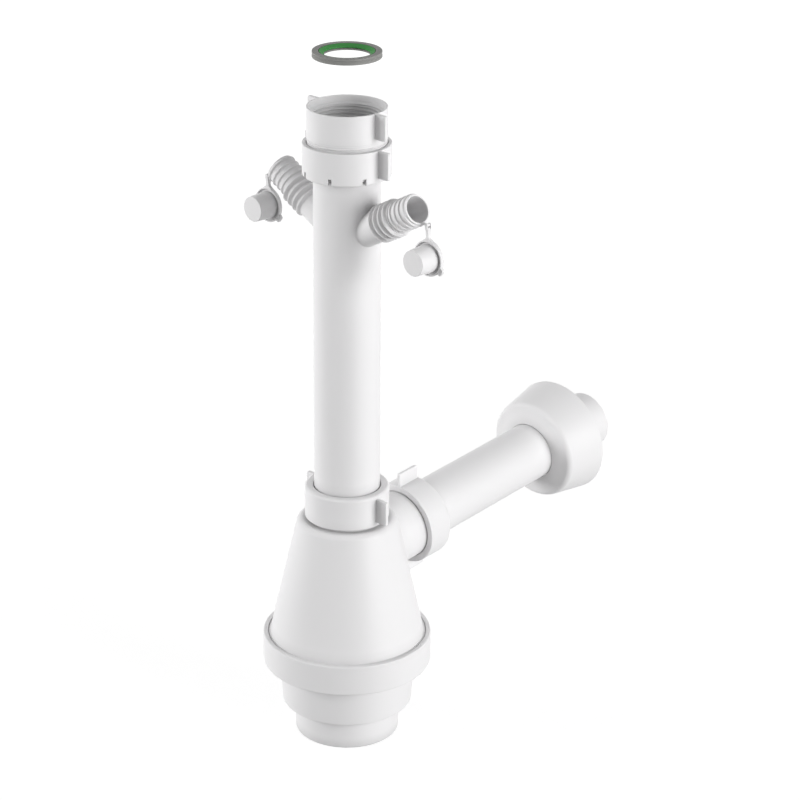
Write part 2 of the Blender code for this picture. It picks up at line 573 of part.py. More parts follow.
def make_dip_tube():
    """Dip tube with its flange, two hose tails and the lugs of the plug straps."""
    profile = [(0.0, TUBE_BOTTOM), (TUBE_RADIUS, TUBE_BOTTOM), (TUBE_RADIUS, FLANGE_BOTTOM)]
    profile += [(TUBE_FLANGE_RADIUS, FLANGE_BOTTOM), (TUBE_FLANGE_RADIUS, FLANGE_TOP), (0.0, FLANGE_TOP)]
    tube = add_part("dip_tube", turned(profile))
    past = TUBE_WALL
    waterway = add_part("waterway", turned(rod(TUBE_BORE, TUBE_BOTTOM - past, FLANGE_TOP + past)))
    for name, side, lug in (("right", 1, RIGHT_LUG_LENGTH), ("left", -1, LEFT_LUG_LENGTH)):
        axis = add_axis(f"{name}_tail_axis", (0.0, 0.0, TAIL_HEIGHT), (0.0, side * TAIL_TILT, 0.0))
        combine(tube, make_tail_form(f"{name}_tail_form", axis), "UNION")
        combine(tube, make_lug(f"{name}_lug", side, lug), "UNION")
        bore = turned(rod(TAIL_BORE_RADIUS, TAIL_BORE_RADIUS, TAIL_LENGTH + past), TAIL_STEPS)
        combine(waterway, add_part(f"{name}_tail_bore", bore, parent=axis), "UNION")
    combine(tube, waterway, "DIFFERENCE")


def plug_pivot(side, lug_length):
    """Centre of a lug's pin, which is the strap's hinge."""
    reach, height = under_tail(TAIL_LENGTH, MOUTH_WALL_MIDDLE)
    return (side * (reach + lug_length), 0.0, height)


def make_plug(name, side, lug_length, strap_length, lean):
    """Blanking plug with its disc, pull tab and strap, hanging from its own pin."""
    tip = -(LUG_PIN_RADIUS + GAP)
    neck = tip - 0.6 * STRAP_WIDTH
    disc_edge = PLUG_DISC_RADIUS - strap_length
    flare = disc_edge + STRAP_WIDTH
    tuck = disc_edge - 0.5 * PLUG_DISC_RADIUS
    right = [(STRAP_TIP_WIDTH / 2, tip), (STRAP_WIDTH / 2, neck), (STRAP_WIDTH / 2, flare)]
    right += [(STRAP_FLARE_WIDTH / 2, disc_edge - 0.06 * PLUG_DISC_RADIUS), (STRAP_FLARE_WIDTH / 2, tuck)]
    left = [(-x, z) for x, z in reversed(right)]
    plug = add_part(name, plate(right + left, STRAP_THICKNESS), location=plug_pivot(side, lug_length))
    plug.rotation_euler.y = -lean

    half = PLUG_DISC_THICKNESS / 2
    rim = PLUG_DISC_RADIUS - PLUG_RIM_WIDTH
    recess = half - PLUG_RECESS_DEPTH
    profile = [(0.0, -half), (PLUG_DISC_RADIUS, -half), (PLUG_DISC_RADIUS, half), (rim, half)]
    profile += [(rim, recess), (PLUG_BASE_RADIUS, recess), (PLUG_END_RADIUS, half + PLUG_LENGTH)]
    profile += [(0.0, half + PLUG_LENGTH)]
    disc = add_part(f"{name}_disc_form", turned(profile, TAIL_STEPS), parent=plug)
    disc.location = (0.0, 0.0, -strap_length)
    disc.rotation_euler.x = math.pi / 2
    combine(plug, disc, "UNION")

    reach = PLUG_DISC_RADIUS + PLUG_TAB_REACH
    corner = PLUG_TAB_WIDTH / 4
    outline = [(rim, -PLUG_TAB_WIDTH / 2), (reach - corner, -PLUG_TAB_WIDTH / 2), (reach, -corner),
               (reach, corner), (reach - corner, PLUG_TAB_WIDTH / 2), (rim, PLUG_TAB_WIDTH / 2)]
    tab = add_part(f"{name}_tab_form", plate(outline, STRAP_THICKNESS), parent=plug)
    tab.location = (0.0, 0.0, -strap_length)
    tab.rotation_euler.y = -PLUG_TAB_ANGLE
    combine(plug, tab, "UNION")

    depth = half + PLUG_LENGTH - PLUG_WALL
    bore = PLUG_END_RADIUS - PLUG_WALL
    core = add_part(f"{name}_core", turned(rod(bore, -2 * half, depth), TAIL_STEPS), parent=plug)
    core.location = (0.0, 0.0, -strap_length)
    core.rotation_euler.x = math.pi / 2
    combine(plug, core, "DIFFERENCE")


def make_outlet_nut(outlet):
    """Winged nut on the spigot: open threaded front, rounded shoulder down to the pipe."""
    plate_front = SPIGOT_END + CONE_SEAL_HEAD + SLIP_RING_THICKNESS + 2 * GAP
    back = plate_front + OUTLET_NUT_PLATE
    bore = SPIGOT_RADIUS + GAP
    hole = PIPE_RADIUS + RUNNING_GAP
    shoulder = OUTLET_NUT_SHOULDER
    profile = [(bore, OUTLET_NUT_FRONT), (OUTLET_NUT_RADIUS, OUTLET_NUT_FRONT)]
    profile += arc((OUTLET_NUT_RADIUS - shoulder, back - shoulder), shoulder, 0, 90, 4)
    profile += [(hole, back), (hole, plate_front), (bore, plate_front)]
    nut = add_part("outlet_nut", turned(profile), parent=outlet)
    wing_end = OUTLET_NUT_FRONT + OUTLET_WING_LENGTH
    add_wings(nut, OUTLET_NUT_RADIUS, OUTLET_WING_REACH, OUTLET_NUT_FRONT, wing_end, quarter_turn=True)


def make_outlet_pipe(outlet):
    """Plain outlet pipe, from the spigot's stop to its end past the rose."""
    add_part("outlet_pipe", turned(ring(PIPE_BORE, PIPE_RADIUS, PIPE_START, PIPE_END)), parent=outlet)


def make_wall_rose(outlet):
    """Thin flared cover on the pipe, open towards the wall."""
    hole = PIPE_RADIUS + GAP
    edge = ROSE_EDGE_RADIUS
    corner = ROSE_FRONT + ROSE_FACE_SLOPE * (ROSE_FRONT_RADIUS - hole)
    face_tilt = math.degrees(math.atan(ROSE_FACE_SLOPE))
    side_length = ROSE_BACK - corner
    side_tilt = math.degrees(math.atan((ROSE_BACK_RADIUS - ROSE_FRONT_RADIUS) / side_length))
    centre = (ROSE_FRONT_RADIUS - edge, corner + edge)
    outside = [(hole, ROSE_FRONT)] + arc(centre, edge, -90 + face_tilt, -side_tilt, 3)
    outside += [(ROSE_BACK_RADIUS, ROSE_BACK)]
    inside = [(ROSE_BACK_RADIUS - ROSE_WALL, ROSE_BACK)]
    inside += arc(centre, edge - ROSE_WALL, -side_tilt, -90 + face_tilt, 3)
    inside += [(hole, ROSE_FRONT + ROSE_WALL)]
    add_part("wall_rose", turned(outside + inside), parent=outlet)


def main():
    """Clear the scene and make every part."""
    for old in list(bpy.data.objects):
        bpy.data.objects.remove(old)
    outlet = add_axis("outlet_axis", (0.0, 0.0, OUTLET_HEIGHT), (OUTLET_RISE - math.pi / 2, 0.0, 0.0))
    make_cup()
    make_cup_seal()
    make_bottle(outlet)
    make_cone_seal("bottle_cone_seal", TUBE_RADIUS, NECK_SEAT_RADIUS, NECK_TOP)
    make_slip_ring("bottle_slip_ring", TUBE_RADIUS, NECK_RADIUS, NECK_TOP)
    make_bottle_nut()
    make_dip_tube()
    make_coupling_nut()
    make_coupling_seal()
    make_adapter()
    make_inlet_seal()
    make_plug("right_plug", 1, RIGHT_LUG_LENGTH, RIGHT_STRAP_LENGTH, RIGHT_PLUG_LEAN)
    make_plug("left_plug", -1, LEFT_LUG_LENGTH, LEFT_STRAP_LENGTH, LEFT_PLUG_LEAN)
    make_cone_seal("outlet_cone_seal", PIPE_RADIUS, SPIGOT_SEAT_RADIUS, SPIGOT_END, parent=outlet)
    make_slip_ring("outlet_slip_ring", PIPE_RADIUS, SPIGOT_RADIUS, SPIGOT_END, parent=outlet)
    make_outlet_nut(outlet)
    make_outlet_pipe(outlet)
    make_wall_rose(outlet)


main()
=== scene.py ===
"""Basin bottle trap: the fine surfaces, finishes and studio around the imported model.

Metres, +Z up, the frame's own origin at the centre of the foot. The dip tube stands on the Z
axis, the outlet points along +Y and rises a little, and the hose tails point along +X and -X.
Most pieces are turned: a closed outline of (radius, height) points is carried round an axis.
"""

import json
import math

import bpy
import numpy as np
from mathutils import Euler, Matrix, Vector

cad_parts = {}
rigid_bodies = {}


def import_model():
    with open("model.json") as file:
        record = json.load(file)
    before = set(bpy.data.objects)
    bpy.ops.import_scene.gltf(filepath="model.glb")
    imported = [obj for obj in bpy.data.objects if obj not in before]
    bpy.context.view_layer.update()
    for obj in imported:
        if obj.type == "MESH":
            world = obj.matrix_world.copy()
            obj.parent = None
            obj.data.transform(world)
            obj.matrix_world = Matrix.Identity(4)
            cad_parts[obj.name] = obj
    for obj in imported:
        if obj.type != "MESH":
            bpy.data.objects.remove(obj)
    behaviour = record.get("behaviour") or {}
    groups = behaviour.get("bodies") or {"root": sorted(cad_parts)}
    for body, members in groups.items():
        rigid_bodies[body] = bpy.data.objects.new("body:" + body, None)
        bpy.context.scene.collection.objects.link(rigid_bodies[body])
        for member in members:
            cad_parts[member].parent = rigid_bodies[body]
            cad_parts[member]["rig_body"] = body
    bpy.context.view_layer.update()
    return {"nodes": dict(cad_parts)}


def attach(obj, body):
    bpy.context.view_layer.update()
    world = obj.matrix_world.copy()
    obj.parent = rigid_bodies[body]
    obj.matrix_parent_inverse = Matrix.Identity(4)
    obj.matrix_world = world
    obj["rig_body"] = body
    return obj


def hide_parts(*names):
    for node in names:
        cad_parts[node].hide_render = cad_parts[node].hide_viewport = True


bl_info = {
    "name": "Basin bottle trap",
    "version": (1, 0, 0),
    "blender": (4, 5, 0),
    "location": "View3D > Sidebar > Trap",
    "description": "Makes the surfaces, finishes and studio of a white bottle trap",
    "category": "Object",
}

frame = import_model()
MM = 0.001

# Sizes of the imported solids, in millimetres
FOOT, BOWL_LOW, BOWL_HIGH, COLLAR = 35.4, 44.3, 45.9, 57.2
FOOT_TOP, BOWL_TOP, COLLAR_TOP, CUP_BORE = 22.6, 52.6, 73.6, 53.8
CUP_WALL, CUP_FLOOR, CUP_SEAT = 2.8, 3.5, 55.4
SKIRT, SKIRT_LOW, SKIRT_TOP = 53.5, 59.0, 73.3
CONE_LOW, CONE_TOP, SHOULDER_TOP, SHOULDER_ROUND = 52.4, 33.3, 158.6, 6.8
SKIRT_BORE, BOTTLE_WALL, BOTTLE_ROOF = 50.5, 2.87, 2.8
NECK, NECK_TOP, NECK_SEAT, SEAT_DEPTH = 25.6, 174.5, 24.48, 7.8
TUBE, TUBE_BORE, TUBE_LOW, TUBE_HOLE = 21.9, 20.1, 60.0, 22.4
FLANGE, FLANGE_LOW, FLANGE_TOP = 25.8, 401.6, 404.1
HEAD, HEAD_LOW, HEAD_TOP, ADAPTER_LOW = 26.0, 424.6, 443.6, 406.7
INLET, INLET_THREAD, INLET_LOW, LEDGE = 24.7, 22.6, 427.6, 439.4
NUT_GAP, NUT_PLATE = 0.3, 3.0
BOTTLE_NUT, BOTTLE_NUT_LOW, BOTTLE_NUT_TOP = 28.3, 160.4, 182.3
COUPLING_NUT, COUPLING_NUT_LOW, COUPLING_NUT_TOP = 28.8, 398.8, 420.1
NOTCHES, NOTCH_HALF, NOTCH_HEIGHT = 8, 1.3, 4.4
OUTLET_NUT, OUTLET_NUT_FRONT, OUTLET_NUT_BACK, OUTLET_NUT_HOLE = 28.8, 53.4, 73.8, 20.8
TAIL_HEIGHT, TAIL_ANGLE, TAIL_END = 355.0, math.radians(29.0), 71.0
TAIL_ROOT, TAIL_ROOT_END, TAIL_BORE, TAIL_RIM = 10.7, 34.9, 8.6, 9.9
OUTLET_HEIGHT, OUTLET_RISE = 129.8, math.radians(5.7)
SPIGOT, SPIGOT_BORE, SPIGOT_END, SPIGOT_SEAT = 23.9, 19.6, 66.0, 22.78
PIPE, PIPE_BORE, PIPE_START, PIPE_END = 20.3, 18.5, 48.0, 250.0
ROSE_HOLE, ROSE_SHOULDER, ROSE_RIM, ROSE_FRONT, ROSE_BACK = 20.6, 35.6, 41.2, 187.0, 219.5
SEAL, SEAL_RECESS, SEAL_HOLE, SEAL_LOW, SEAL_TOP = 22.2, 18.1, 14.9, 475.5, 479.5
PLUG, PLUG_RIM, PLUG_MOUTH, PLUG_TIP, PLUG_END = 11.8, 10.7, 9.2, 8.5, 14.7
PLUG_FACE, PLUG_HOLLOW, PLUG_HOLLOW_END = 1.5, 6.9, 13.1
STRAP_THICK, PIN, EAR_HALF, EAR_LOW, EAR_TOP = 2.4, 1.0, 1.15, -3.0, 1.25
TAB_NEAR, TAB_FAR, TAB_HALF, TAB_TURN = 10.9, 14.3, 2.6, math.radians(36.0)
# Ribs of a tail: a crest, the pitch, groove radius, depth, crest width, root flank, mouth flank
LARGE_RIBS = (37.3, 4.6, 10.5, 2.0, 0.5, 2.1, 0.8)
SMALL_RIBS = (55.9, 4.3, 9.9, 0.9, 0.4, 1.1, 0.6)
RIB_STEP = 53.3
# Each lug: its side, its length past the rim, the strap's length and the strap's lean in degrees
LUGS = {"right": (1, 4.55, 21.5, 2.8), "left": (-1, 6.65, 20.3, 0.0)}
# Turn of each lamp from the camera's own azimuth, in degrees, and the point they look at
LAMP_TURNS = {"key": 55.0, "left": -90.0, "back": 165.0}
MIDDLE = (0.0, 0.05, 0.24)


class TrapSizes(bpy.types.PropertyGroup):
    """Sizes of the details that the surfaces add to the solids."""

    edge: bpy.props.FloatProperty(
        name="Edge", description="Radius of a moulded edge", default=0.4 * MM, unit="LENGTH")
    fillet: bpy.props.FloatProperty(
        name="Fillet", description="Radius where a branch grows out of its tube",
        default=1.5 * MM, unit="LENGTH")
    thread_pitch: bpy.props.FloatProperty(
        name="Pipe thread pitch", description="Lead of the nuts' and the adapter's threads",
        default=2.309 * MM, unit="LENGTH")
    thread_depth: bpy.props.FloatProperty(
        name="Pipe thread depth", description="Depth of the nuts' and the adapter's threads",
        default=0.85 * MM, unit="LENGTH")
    cup_pitch: bpy.props.FloatProperty(
        name="Cup thread pitch", description="Lead of the cup's coarse thread",
        default=4.0 * MM, unit="LENGTH")
    wing_edge: bpy.props.FloatProperty(
        name="Wing edge", description="Radius round the edges of the nuts' wings",
        default=0.45 * MM, unit="LENGTH")
    steps: bpy.props.IntProperty(
        name="Steps", description="Columns round a full turn", default=160, min=32)


class TrapFinish(bpy.types.PropertyGroup):
    """Colours and gloss of the trap's plastics and rubbers."""

    plastic: bpy.props.FloatVectorProperty(
        name="Plastic", description="White of the moulded plastic", subtype="COLOR", size=3,
        default=(0.858, 0.852, 0.858))
    plastic_roughness: bpy.props.FloatProperty(
        name="Plastic roughness", description="Softness of the plastic's sheen", default=0.42)
    grey_rubber: bpy.props.FloatVectorProperty(
        name="Grey rubber", description="Colour of the lifted seal", subtype="COLOR", size=3,
        default=(0.27, 0.27, 0.26))
    green_rubber: bpy.props.FloatVectorProperty(
        name="Green rubber", description="Colour of the seal's soft lip", subtype="COLOR", size=3,
        default=(0.05, 0.27, 0.06))
    black_rubber: bpy.props.FloatVectorProperty(
        name="Black rubber", description="Colour of the seals inside", subtype="COLOR", size=3,
        default=(0.05, 0.05, 0.05))
    rubber_roughness: bpy.props.FloatProperty(
        name="Rubber roughness", description="Dullness of the rubbers", default=0.6)


class TrapStage(bpy.types.PropertyGroup):
    """Camera, lamps and floor of the studio."""

    lens: bpy.props.FloatProperty(
        name="Lens", description="Focal length in millimetres", default=118.67)
    distance: bpy.props.FloatProperty(
        name="Distance", description="Camera to the point it looks at", default=1.7394,
        unit="LENGTH")
    pitch: bpy.props.FloatProperty(
        name="Pitch", description="How far the camera looks down", default=math.radians(22.6),
        subtype="ANGLE")
    azimuth: bpy.props.FloatProperty(
        name="Azimuth", description="Turn of the camera round the trap", default=math.radians(45.0),
        subtype="ANGLE")
    aim_height: bpy.props.FloatProperty(
        name="Aim height", description="Height of the point it looks at", default=0.2426,
        unit="LENGTH")
    shift: bpy.props.FloatProperty(
        name="Shift", description="Sideways shift of the picture", default=0.0662)
    key_power: bpy.props.FloatProperty(
        name="Key power", description="Watts of the large lamp on the right", default=52.0)
    left_power: bpy.props.FloatProperty(
        name="Left power", description="Watts of the large lamp on the left", default=48.0)
    back_power: bpy.props.FloatProperty(
        name="Back power", description="Watts of the large lamp behind", default=15.0)
    sky: bpy.props.FloatProperty(
        name="Sky", description="Level of the light from all round", default=0.42)


# Surfaces --------------------------------------------------------------------------------


def ring_angles(steps):
    """Evenly spaced angles of one full turn."""
    return np.linspace(0.0, 2 * math.pi, steps, endpoint=False)


def rounded(corners, edge, segments=5):
    """Closed outline with round corners.

    Each corner is (x, y) or (x, y, radius). Its arc touches both sides: the centre lies on the
    bisector at radius / sin(half the angle), and the arc runs from foot point to foot point.
    """
    points = np.array([corner[:2] for corner in corners], float)
    outline = []
    for index, corner in enumerate(corners):
        here = points[index]
        back, ahead = points[index - 1] - here, points[(index + 1) % len(points)] - here
        back_length, ahead_length = np.linalg.norm(back), np.linalg.norm(ahead)
        back, ahead = back / back_length, ahead / ahead_length
        half = math.acos(float(np.clip(back @ ahead, -1, 1))) / 2
        reach = (corner[2] if len(corner) > 2 else edge) / max(math.tan(half), 1e-6)
        reach = min(reach, 0.48 * min(back_length, ahead_length))
        radius = reach * math.tan(half)
        if radius < 1e-4 or half > 1.55:
            outline.append(here[None])
            continue
        centre = here + (back + ahead) / np.linalg.norm(back + ahead) * radius / math.sin(half)
        start, end = here + back * reach - centre, here + ahead * reach - centre
        first = math.atan2(start[1], start[0])
        sweep = (math.atan2(end[1], end[0]) - first + math.pi) % (2 * math.pi) - math.pi
        angles = first + sweep * np.linspace(0, 1, segments + 1)
        outline.append(centre + radius * np.column_stack([np.cos(angles), np.sin(angles)]))
    return np.concatenate(outline)


def refined(outline, low, high, spacing):
    """Outline with extra points where it runs upright between two heights."""
    following = np.roll(outline, -1, axis=0)
    pieces = []
    for start, end in zip(outline, following):
        inside = min(start[1], end[1]) >= low - 1e-6 and max(start[1], end[1]) <= high + 1e-6
        upright = abs(start[0] - end[0]) < 1e-6
        count = int(np.ceil(abs(end[1] - start[1]) / spacing)) if inside and upright else 1
        share = np.arange(max(count, 1))[:, None] / max(count, 1)
        pieces.append(start + (end - start) * share)
    return np.concatenate(pieces)


def between_rows(rows, around, closed=False):
    """Quads between neighbouring rows of points; closed joins the last row to the first.

    Quad (i, j) has the corners (i, j), (i, j + 1), (i + 1, j + 1) and (i + 1, j), where point
    (i, j) is number i around + j. A part's faces are blocks like this, one for each face size.
    """
    first = np.arange(rows if closed else rows - 1)
    row, column = np.meshgrid(first, np.arange(around), indexing="ij")
    above, beside = (row + 1) % rows, (column + 1) % around
    return np.stack([row * around + column, row * around + beside,
                     above * around + beside, above * around + column], -1).reshape(-1, 4)


def turned(outline, angles, shape=None):
    """Turned shell: point (i, j) is (r_i cos a_j, r_i sin a_j, z_i).

    The outline runs outwards along the bottom, up the outside and back inwards. If it starts
    on the axis it also ends there, and both ends close in a pole. shape(r, a, z) may move r.
    """
    poles = outline[0][0] < 1e-9
    rows = outline[1:-1] if poles else outline
    angle, radius = np.meshgrid(angles, rows[:, 0])
    height = np.broadcast_to(rows[:, 1][:, None], radius.shape)
    if shape is not None:
        radius = shape(radius, angle, height)
    points = np.stack([radius * np.cos(angle), radius * np.sin(angle), height], -1).reshape(-1, 3)
    count, around = len(rows), len(angles)
    faces = [between_rows(count, around, closed=not poles)]
    if poles:
        low, high = len(points), len(points) + 1
        points = np.concatenate([points, [[0, 0, outline[0][1]], [0, 0, outline[-1][1]]]])
        here = np.arange(around)
        there = (here + 1) % around
        top = (count - 1) * around
        faces.append(np.stack([np.full(around, low), there, here], -1))
        faces.append(np.stack([top + here, top + there, np.full(around, high)], -1))
    return points, faces


def slab(outline, thickness, edge, segments=4):
    """Flat plate in the local XZ plane with all its edges rounded.

    Ring k of the rounding lies edge (1 - sin t) inside the outline and edge (1 - cos t) under
    the face, for t from 0 to a quarter turn. The two faces close the plate.
    """
    ahead, back = np.roll(outline, -1, axis=0), np.roll(outline, 1, axis=0)
    along = ahead - back
    inward = np.column_stack([-along[:, 1], along[:, 0]]) / np.linalg.norm(along, axis=1)[:, None]
    turn = np.linspace(0, math.pi / 2, segments + 1)
    inset = np.concatenate([edge * (1 - np.sin(turn)), edge * (1 - np.sin(turn))[::-1]])
    depth = np.concatenate([edge * (1 - np.cos(turn)) - thickness / 2,
                            (thickness / 2 - edge * (1 - np.cos(turn)))[::-1]])
    flat = outline[None] + inward[None] * inset[:, None, None]
    rings, around = len(depth), len(outline)
    height = np.broadcast_to(depth[:, None], (rings, around))
    points = np.stack([flat[..., 0], height, flat[..., 1]], -1).reshape(-1, 3)
    cover = np.arange(around)[None]
    return points, [between_rows(rings, around), cover[:, ::-1], cover + (rings - 1) * around]


def thread(radius, low, high, pitch, depth, run=1.0):
    """Helical groove in the wall at a radius: its phase is z / pitch - a / full turn.

    The groove is a flat-topped wave, and fades out over the run at both ends. A positive depth
    cuts outwards into a bore, a negative one inwards into a spindle.
    """
    def shape(r, a, z):
        """Radius r, moved by the groove where it stands at the thread's radius."""
        phase = z / pitch - a / (2 * math.pi)
        wave = 0.5 - 0.5 * np.cos(2 * math.pi * phase)
        groove = np.clip(1.6 * wave - 0.35, 0.0, 1.0)
        fade = np.clip((z - low) / run, 0.0, 1.0) * np.clip((high - z) / run, 0.0, 1.0)
        return np.where(np.abs(r - radius) < 0.01, r + depth * groove * fade, r)
    return shape


def placed(part, matrix):
    """Part moved by a matrix whose lengths are in millimetres."""
    points, faces = part
    turn = np.array(matrix.to_3x3())
    return points @ turn.T + np.array(matrix.translation), faces


def together(parts):
    """Several parts as one set of points and blocks of faces."""
    faces, start = [], 0
    for points, blocks in parts:
        faces += [block + start for block in blocks]
        start += len(points)
    return np.concatenate([points for points, _ in parts]), faces


def reach_of(origin, across, heights, radii, far=70.0):
    """How far along a branch's direction its lines leave a turned host, by halving.

    origin holds the start points and across the direction. A line has left the host where its
    distance from the Z axis is more than the host's radius at that height.
    """
    low, high = np.zeros(origin.shape[:-1]), np.full(origin.shape[:-1], far)
    for _ in range(40):
        middle = (low + high) / 2
        point = origin + middle[..., None] * across
        outside = np.hypot(point[..., 0], point[..., 1]) > np.interp(point[..., 2], heights, radii)
        high, low = np.where(outside, middle, high), np.where(outside, low, middle)
    return (low + high) / 2


def branch(matrix, outside, inside, bore, fillet, outer_host, inner_host, angles, segments=6):
    """Hollow branch that grows out of a turned host with a fillet.

    The fillet's row t has radius R + fillet (1 - sin t) and stands fillet (1 - cos t) off the
    host's own surface. The outside and inside rows follow, and the bore runs back to the
    host's inner surface, from where the shell closes within the host's wall.
    """
    axis = np.array(matrix.to_3x3())
    start = np.array(matrix.translation)

    def line(radius):
        """Start points of the lines along the branch at one radius."""
        around = np.stack([np.cos(angles), np.sin(angles), np.zeros_like(angles)], -1)
        return start + radius * around @ axis.T

    rows = []
    for turn in np.linspace(0, math.pi / 2, segments + 1):
        radius = outside[0][0] + fillet * (1 - math.sin(turn))
        along = reach_of(line(radius), axis[:, 2], *outer_host) + fillet * (1 - math.cos(turn))
        rows.append(line(radius) + along[:, None] * axis[:, 2])
    for radius, along in list(outside) + list(inside):
        rows.append(line(radius) + along * axis[:, 2])
    along = reach_of(line(bore), axis[:, 2], *inner_host)
    rows.append(line(bore) + along[:, None] * axis[:, 2])
    return np.concatenate(rows), [between_rows(len(rows), len(angles), closed=True)]


def pierced(part, cutters):
    """Part with the cutters' shapes taken out of its wall."""
    objects = [bare_object("pierced", *part)] + [bare_object("cutter", *c) for c in cutters]
    host = objects[0]
    for cutter in objects[1:]:
        hole = host.modifiers.new(cutter.name, "BOOLEAN")
        hole.operation, hole.solver, hole.object = "DIFFERENCE", "EXACT", cutter
    bpy.context.view_layer.update()
    shape = host.evaluated_get(bpy.context.evaluated_depsgraph_get()).data
    points = np.empty(len(shape.vertices) * 3)
    corners = np.empty(len(shape.loops), np.int32)
    starts, sizes = (np.empty(len(shape.polygons), np.int32) for _ in range(2))
    shape.vertices.foreach_get("co", points)
    shape.loops.foreach_get("vertex_index", corners)
    shape.polygons.foreach_get("loop_start", starts)
    shape.polygons.foreach_get("loop_total", sizes)
    faces = [corners[starts[sizes == size][:, None] + np.arange(size)] for size in np.unique(sizes)]
    for made in objects:
        mesh = made.data
        bpy.data.objects.remove(made)
        bpy.data.meshes.remove(mesh)
    return points.reshape(-1, 3) / MM, faces


def bare_object(name, points, faces):
    """Mesh object from points in millimetres and blocks of faces, one for each face size."""
    corners = np.concatenate([block.ravel() for block in faces])
    sizes = np.concatenate([np.full(len(block), block.shape[1]) for block in faces])
    mesh = bpy.data.meshes.new(name)
    mesh.vertices.add(len(points))
    mesh.vertices.foreach_set("co", (points * MM).astype(np.float32).ravel())
    mesh.loops.add(len(corners))
    mesh.loops.foreach_set("vertex_index", corners.astype(np.int32))
    mesh.polygons.add(len(sizes))
    mesh.polygons.foreach_set("loop_start", (np.cumsum(sizes) - sizes).astype(np.int32))
    mesh.update(calc_edges=True)
    mesh.validate()
    made = bpy.data.objects.new(name, mesh)
    bpy.context.scene.collection.objects.link(made)
    return made


def make_piece(name, parts, node, material, sharp=32.0):
    """Finished piece: smooth faces and its material, attached to its CAD node's body, with the node
    hidden.
    """
    piece = bare_object(name, *together(parts))
    piece.data.shade_smooth()
    piece.data.set_sharp_from_angle(angle=math.radians(sharp))
    even = piece.modifiers.new("even_faces", "WEIGHTED_NORMAL")
    even.keep_sharp = True
    piece.data.materials.append(material)
    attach(piece, frame["nodes"][node]["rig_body"])
    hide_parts(node)
    return piece


def wing(radius, reach, low, high, edge, angle=0.0):
    """One wing of a nut: a rounded plate whose root lies in the nut's wall."""
    inner, outer = radius - 1.0, radius + reach
    outline = rounded([(inner, low, 0.6), (outer, low, 1.2), (outer, high, 1.2), (inner, high, 0.6)],
                      0.6)
    return placed(slab(outline, 2.5, edge), Matrix.Rotation(angle, 4, "Z"))


def wings(radius, reach, low, high, edge, start=0.0):
    """Two opposite wings."""
    return [wing(radius, reach, low, high, edge, start + side) for side in (0.0, math.pi)]


def outlet_frame():
    """Matrix of the outlet's axis: local Z runs out along it."""
    turn = Matrix.Rotation(OUTLET_RISE - math.pi / 2, 4, "X")
    return Matrix.Translation((0, 0, OUTLET_HEIGHT)) @ turn


def tail_frame(side):
    """Matrix of a hose tail's axis."""
    turn = Matrix.Rotation(side * (math.pi / 2 - TAIL_ANGLE), 4, "Y")
    return Matrix.Translation((0, 0, TAIL_HEIGHT)) @ turn


# Finishes --------------------------------------------------------------------------------


class Wire:
    """A shader socket that takes part in Python sums; each sum adds its Math node."""

    def __init__(self, shader, socket):
        self.shader, self.socket = shader, socket

    def maths(self, operation, first, second):
        """One Math node on two wires or numbers."""
        return self.shader.node("ShaderNodeMath", {"operation": operation}, {0: first, 1: second})

    def __add__(self, other):
        return self.maths("ADD", self, other)

    def __radd__(self, other):
        return self.maths("ADD", other, self)

    def __sub__(self, other):
        return self.maths("SUBTRACT", self, other)

    def __rsub__(self, other):
        return self.maths("SUBTRACT", other, self)

    def __mul__(self, other):
        return self.maths("MULTIPLY", self, other)

    def __rmul__(self, other):
        return self.maths("MULTIPLY", other, self)


class Shader:
    """Node tree of one material or of the world."""

    def __init__(self, tree):
        self.tree = tree
        tree.nodes.clear()

    def node(self, kind, settings=None, sockets=None, output=0):
        """Adds a node: its settings first, then the values or wires of its sockets."""
        made = self.tree.nodes.new(kind)
        for name, value in (settings or {}).items():
            setattr(made, name, value)
        for name, value in (sockets or {}).items():
            if isinstance(value, Wire):
                self.tree.links.new(value.socket, made.inputs[name])
            else:
                made.inputs[name].default_value = value
        return Wire(self, made.outputs[output]) if len(made.outputs) else made

    def noise(self, place, scale, detail=2.0, roughness=0.5):
        """Noise of a size on the piece, from 0 to 1."""
        return self.node("ShaderNodeTexNoise", None, {
            "Vector": place, "Scale": scale, "Detail": detail, "Roughness": roughness})

    def mix(self, factor, first, second):
        """Blend of two colours."""
        return self.node("ShaderNodeMix", {"data_type": "RGBA", "clamp_factor": True},
                         {0: factor, 6: first, 7: second}, output=2)


def coloured(colour, factor=1.0):
    """Colour with its alpha, brightened or darkened."""
    return tuple(channel * factor for channel in colour[:3]) + (1.0,)


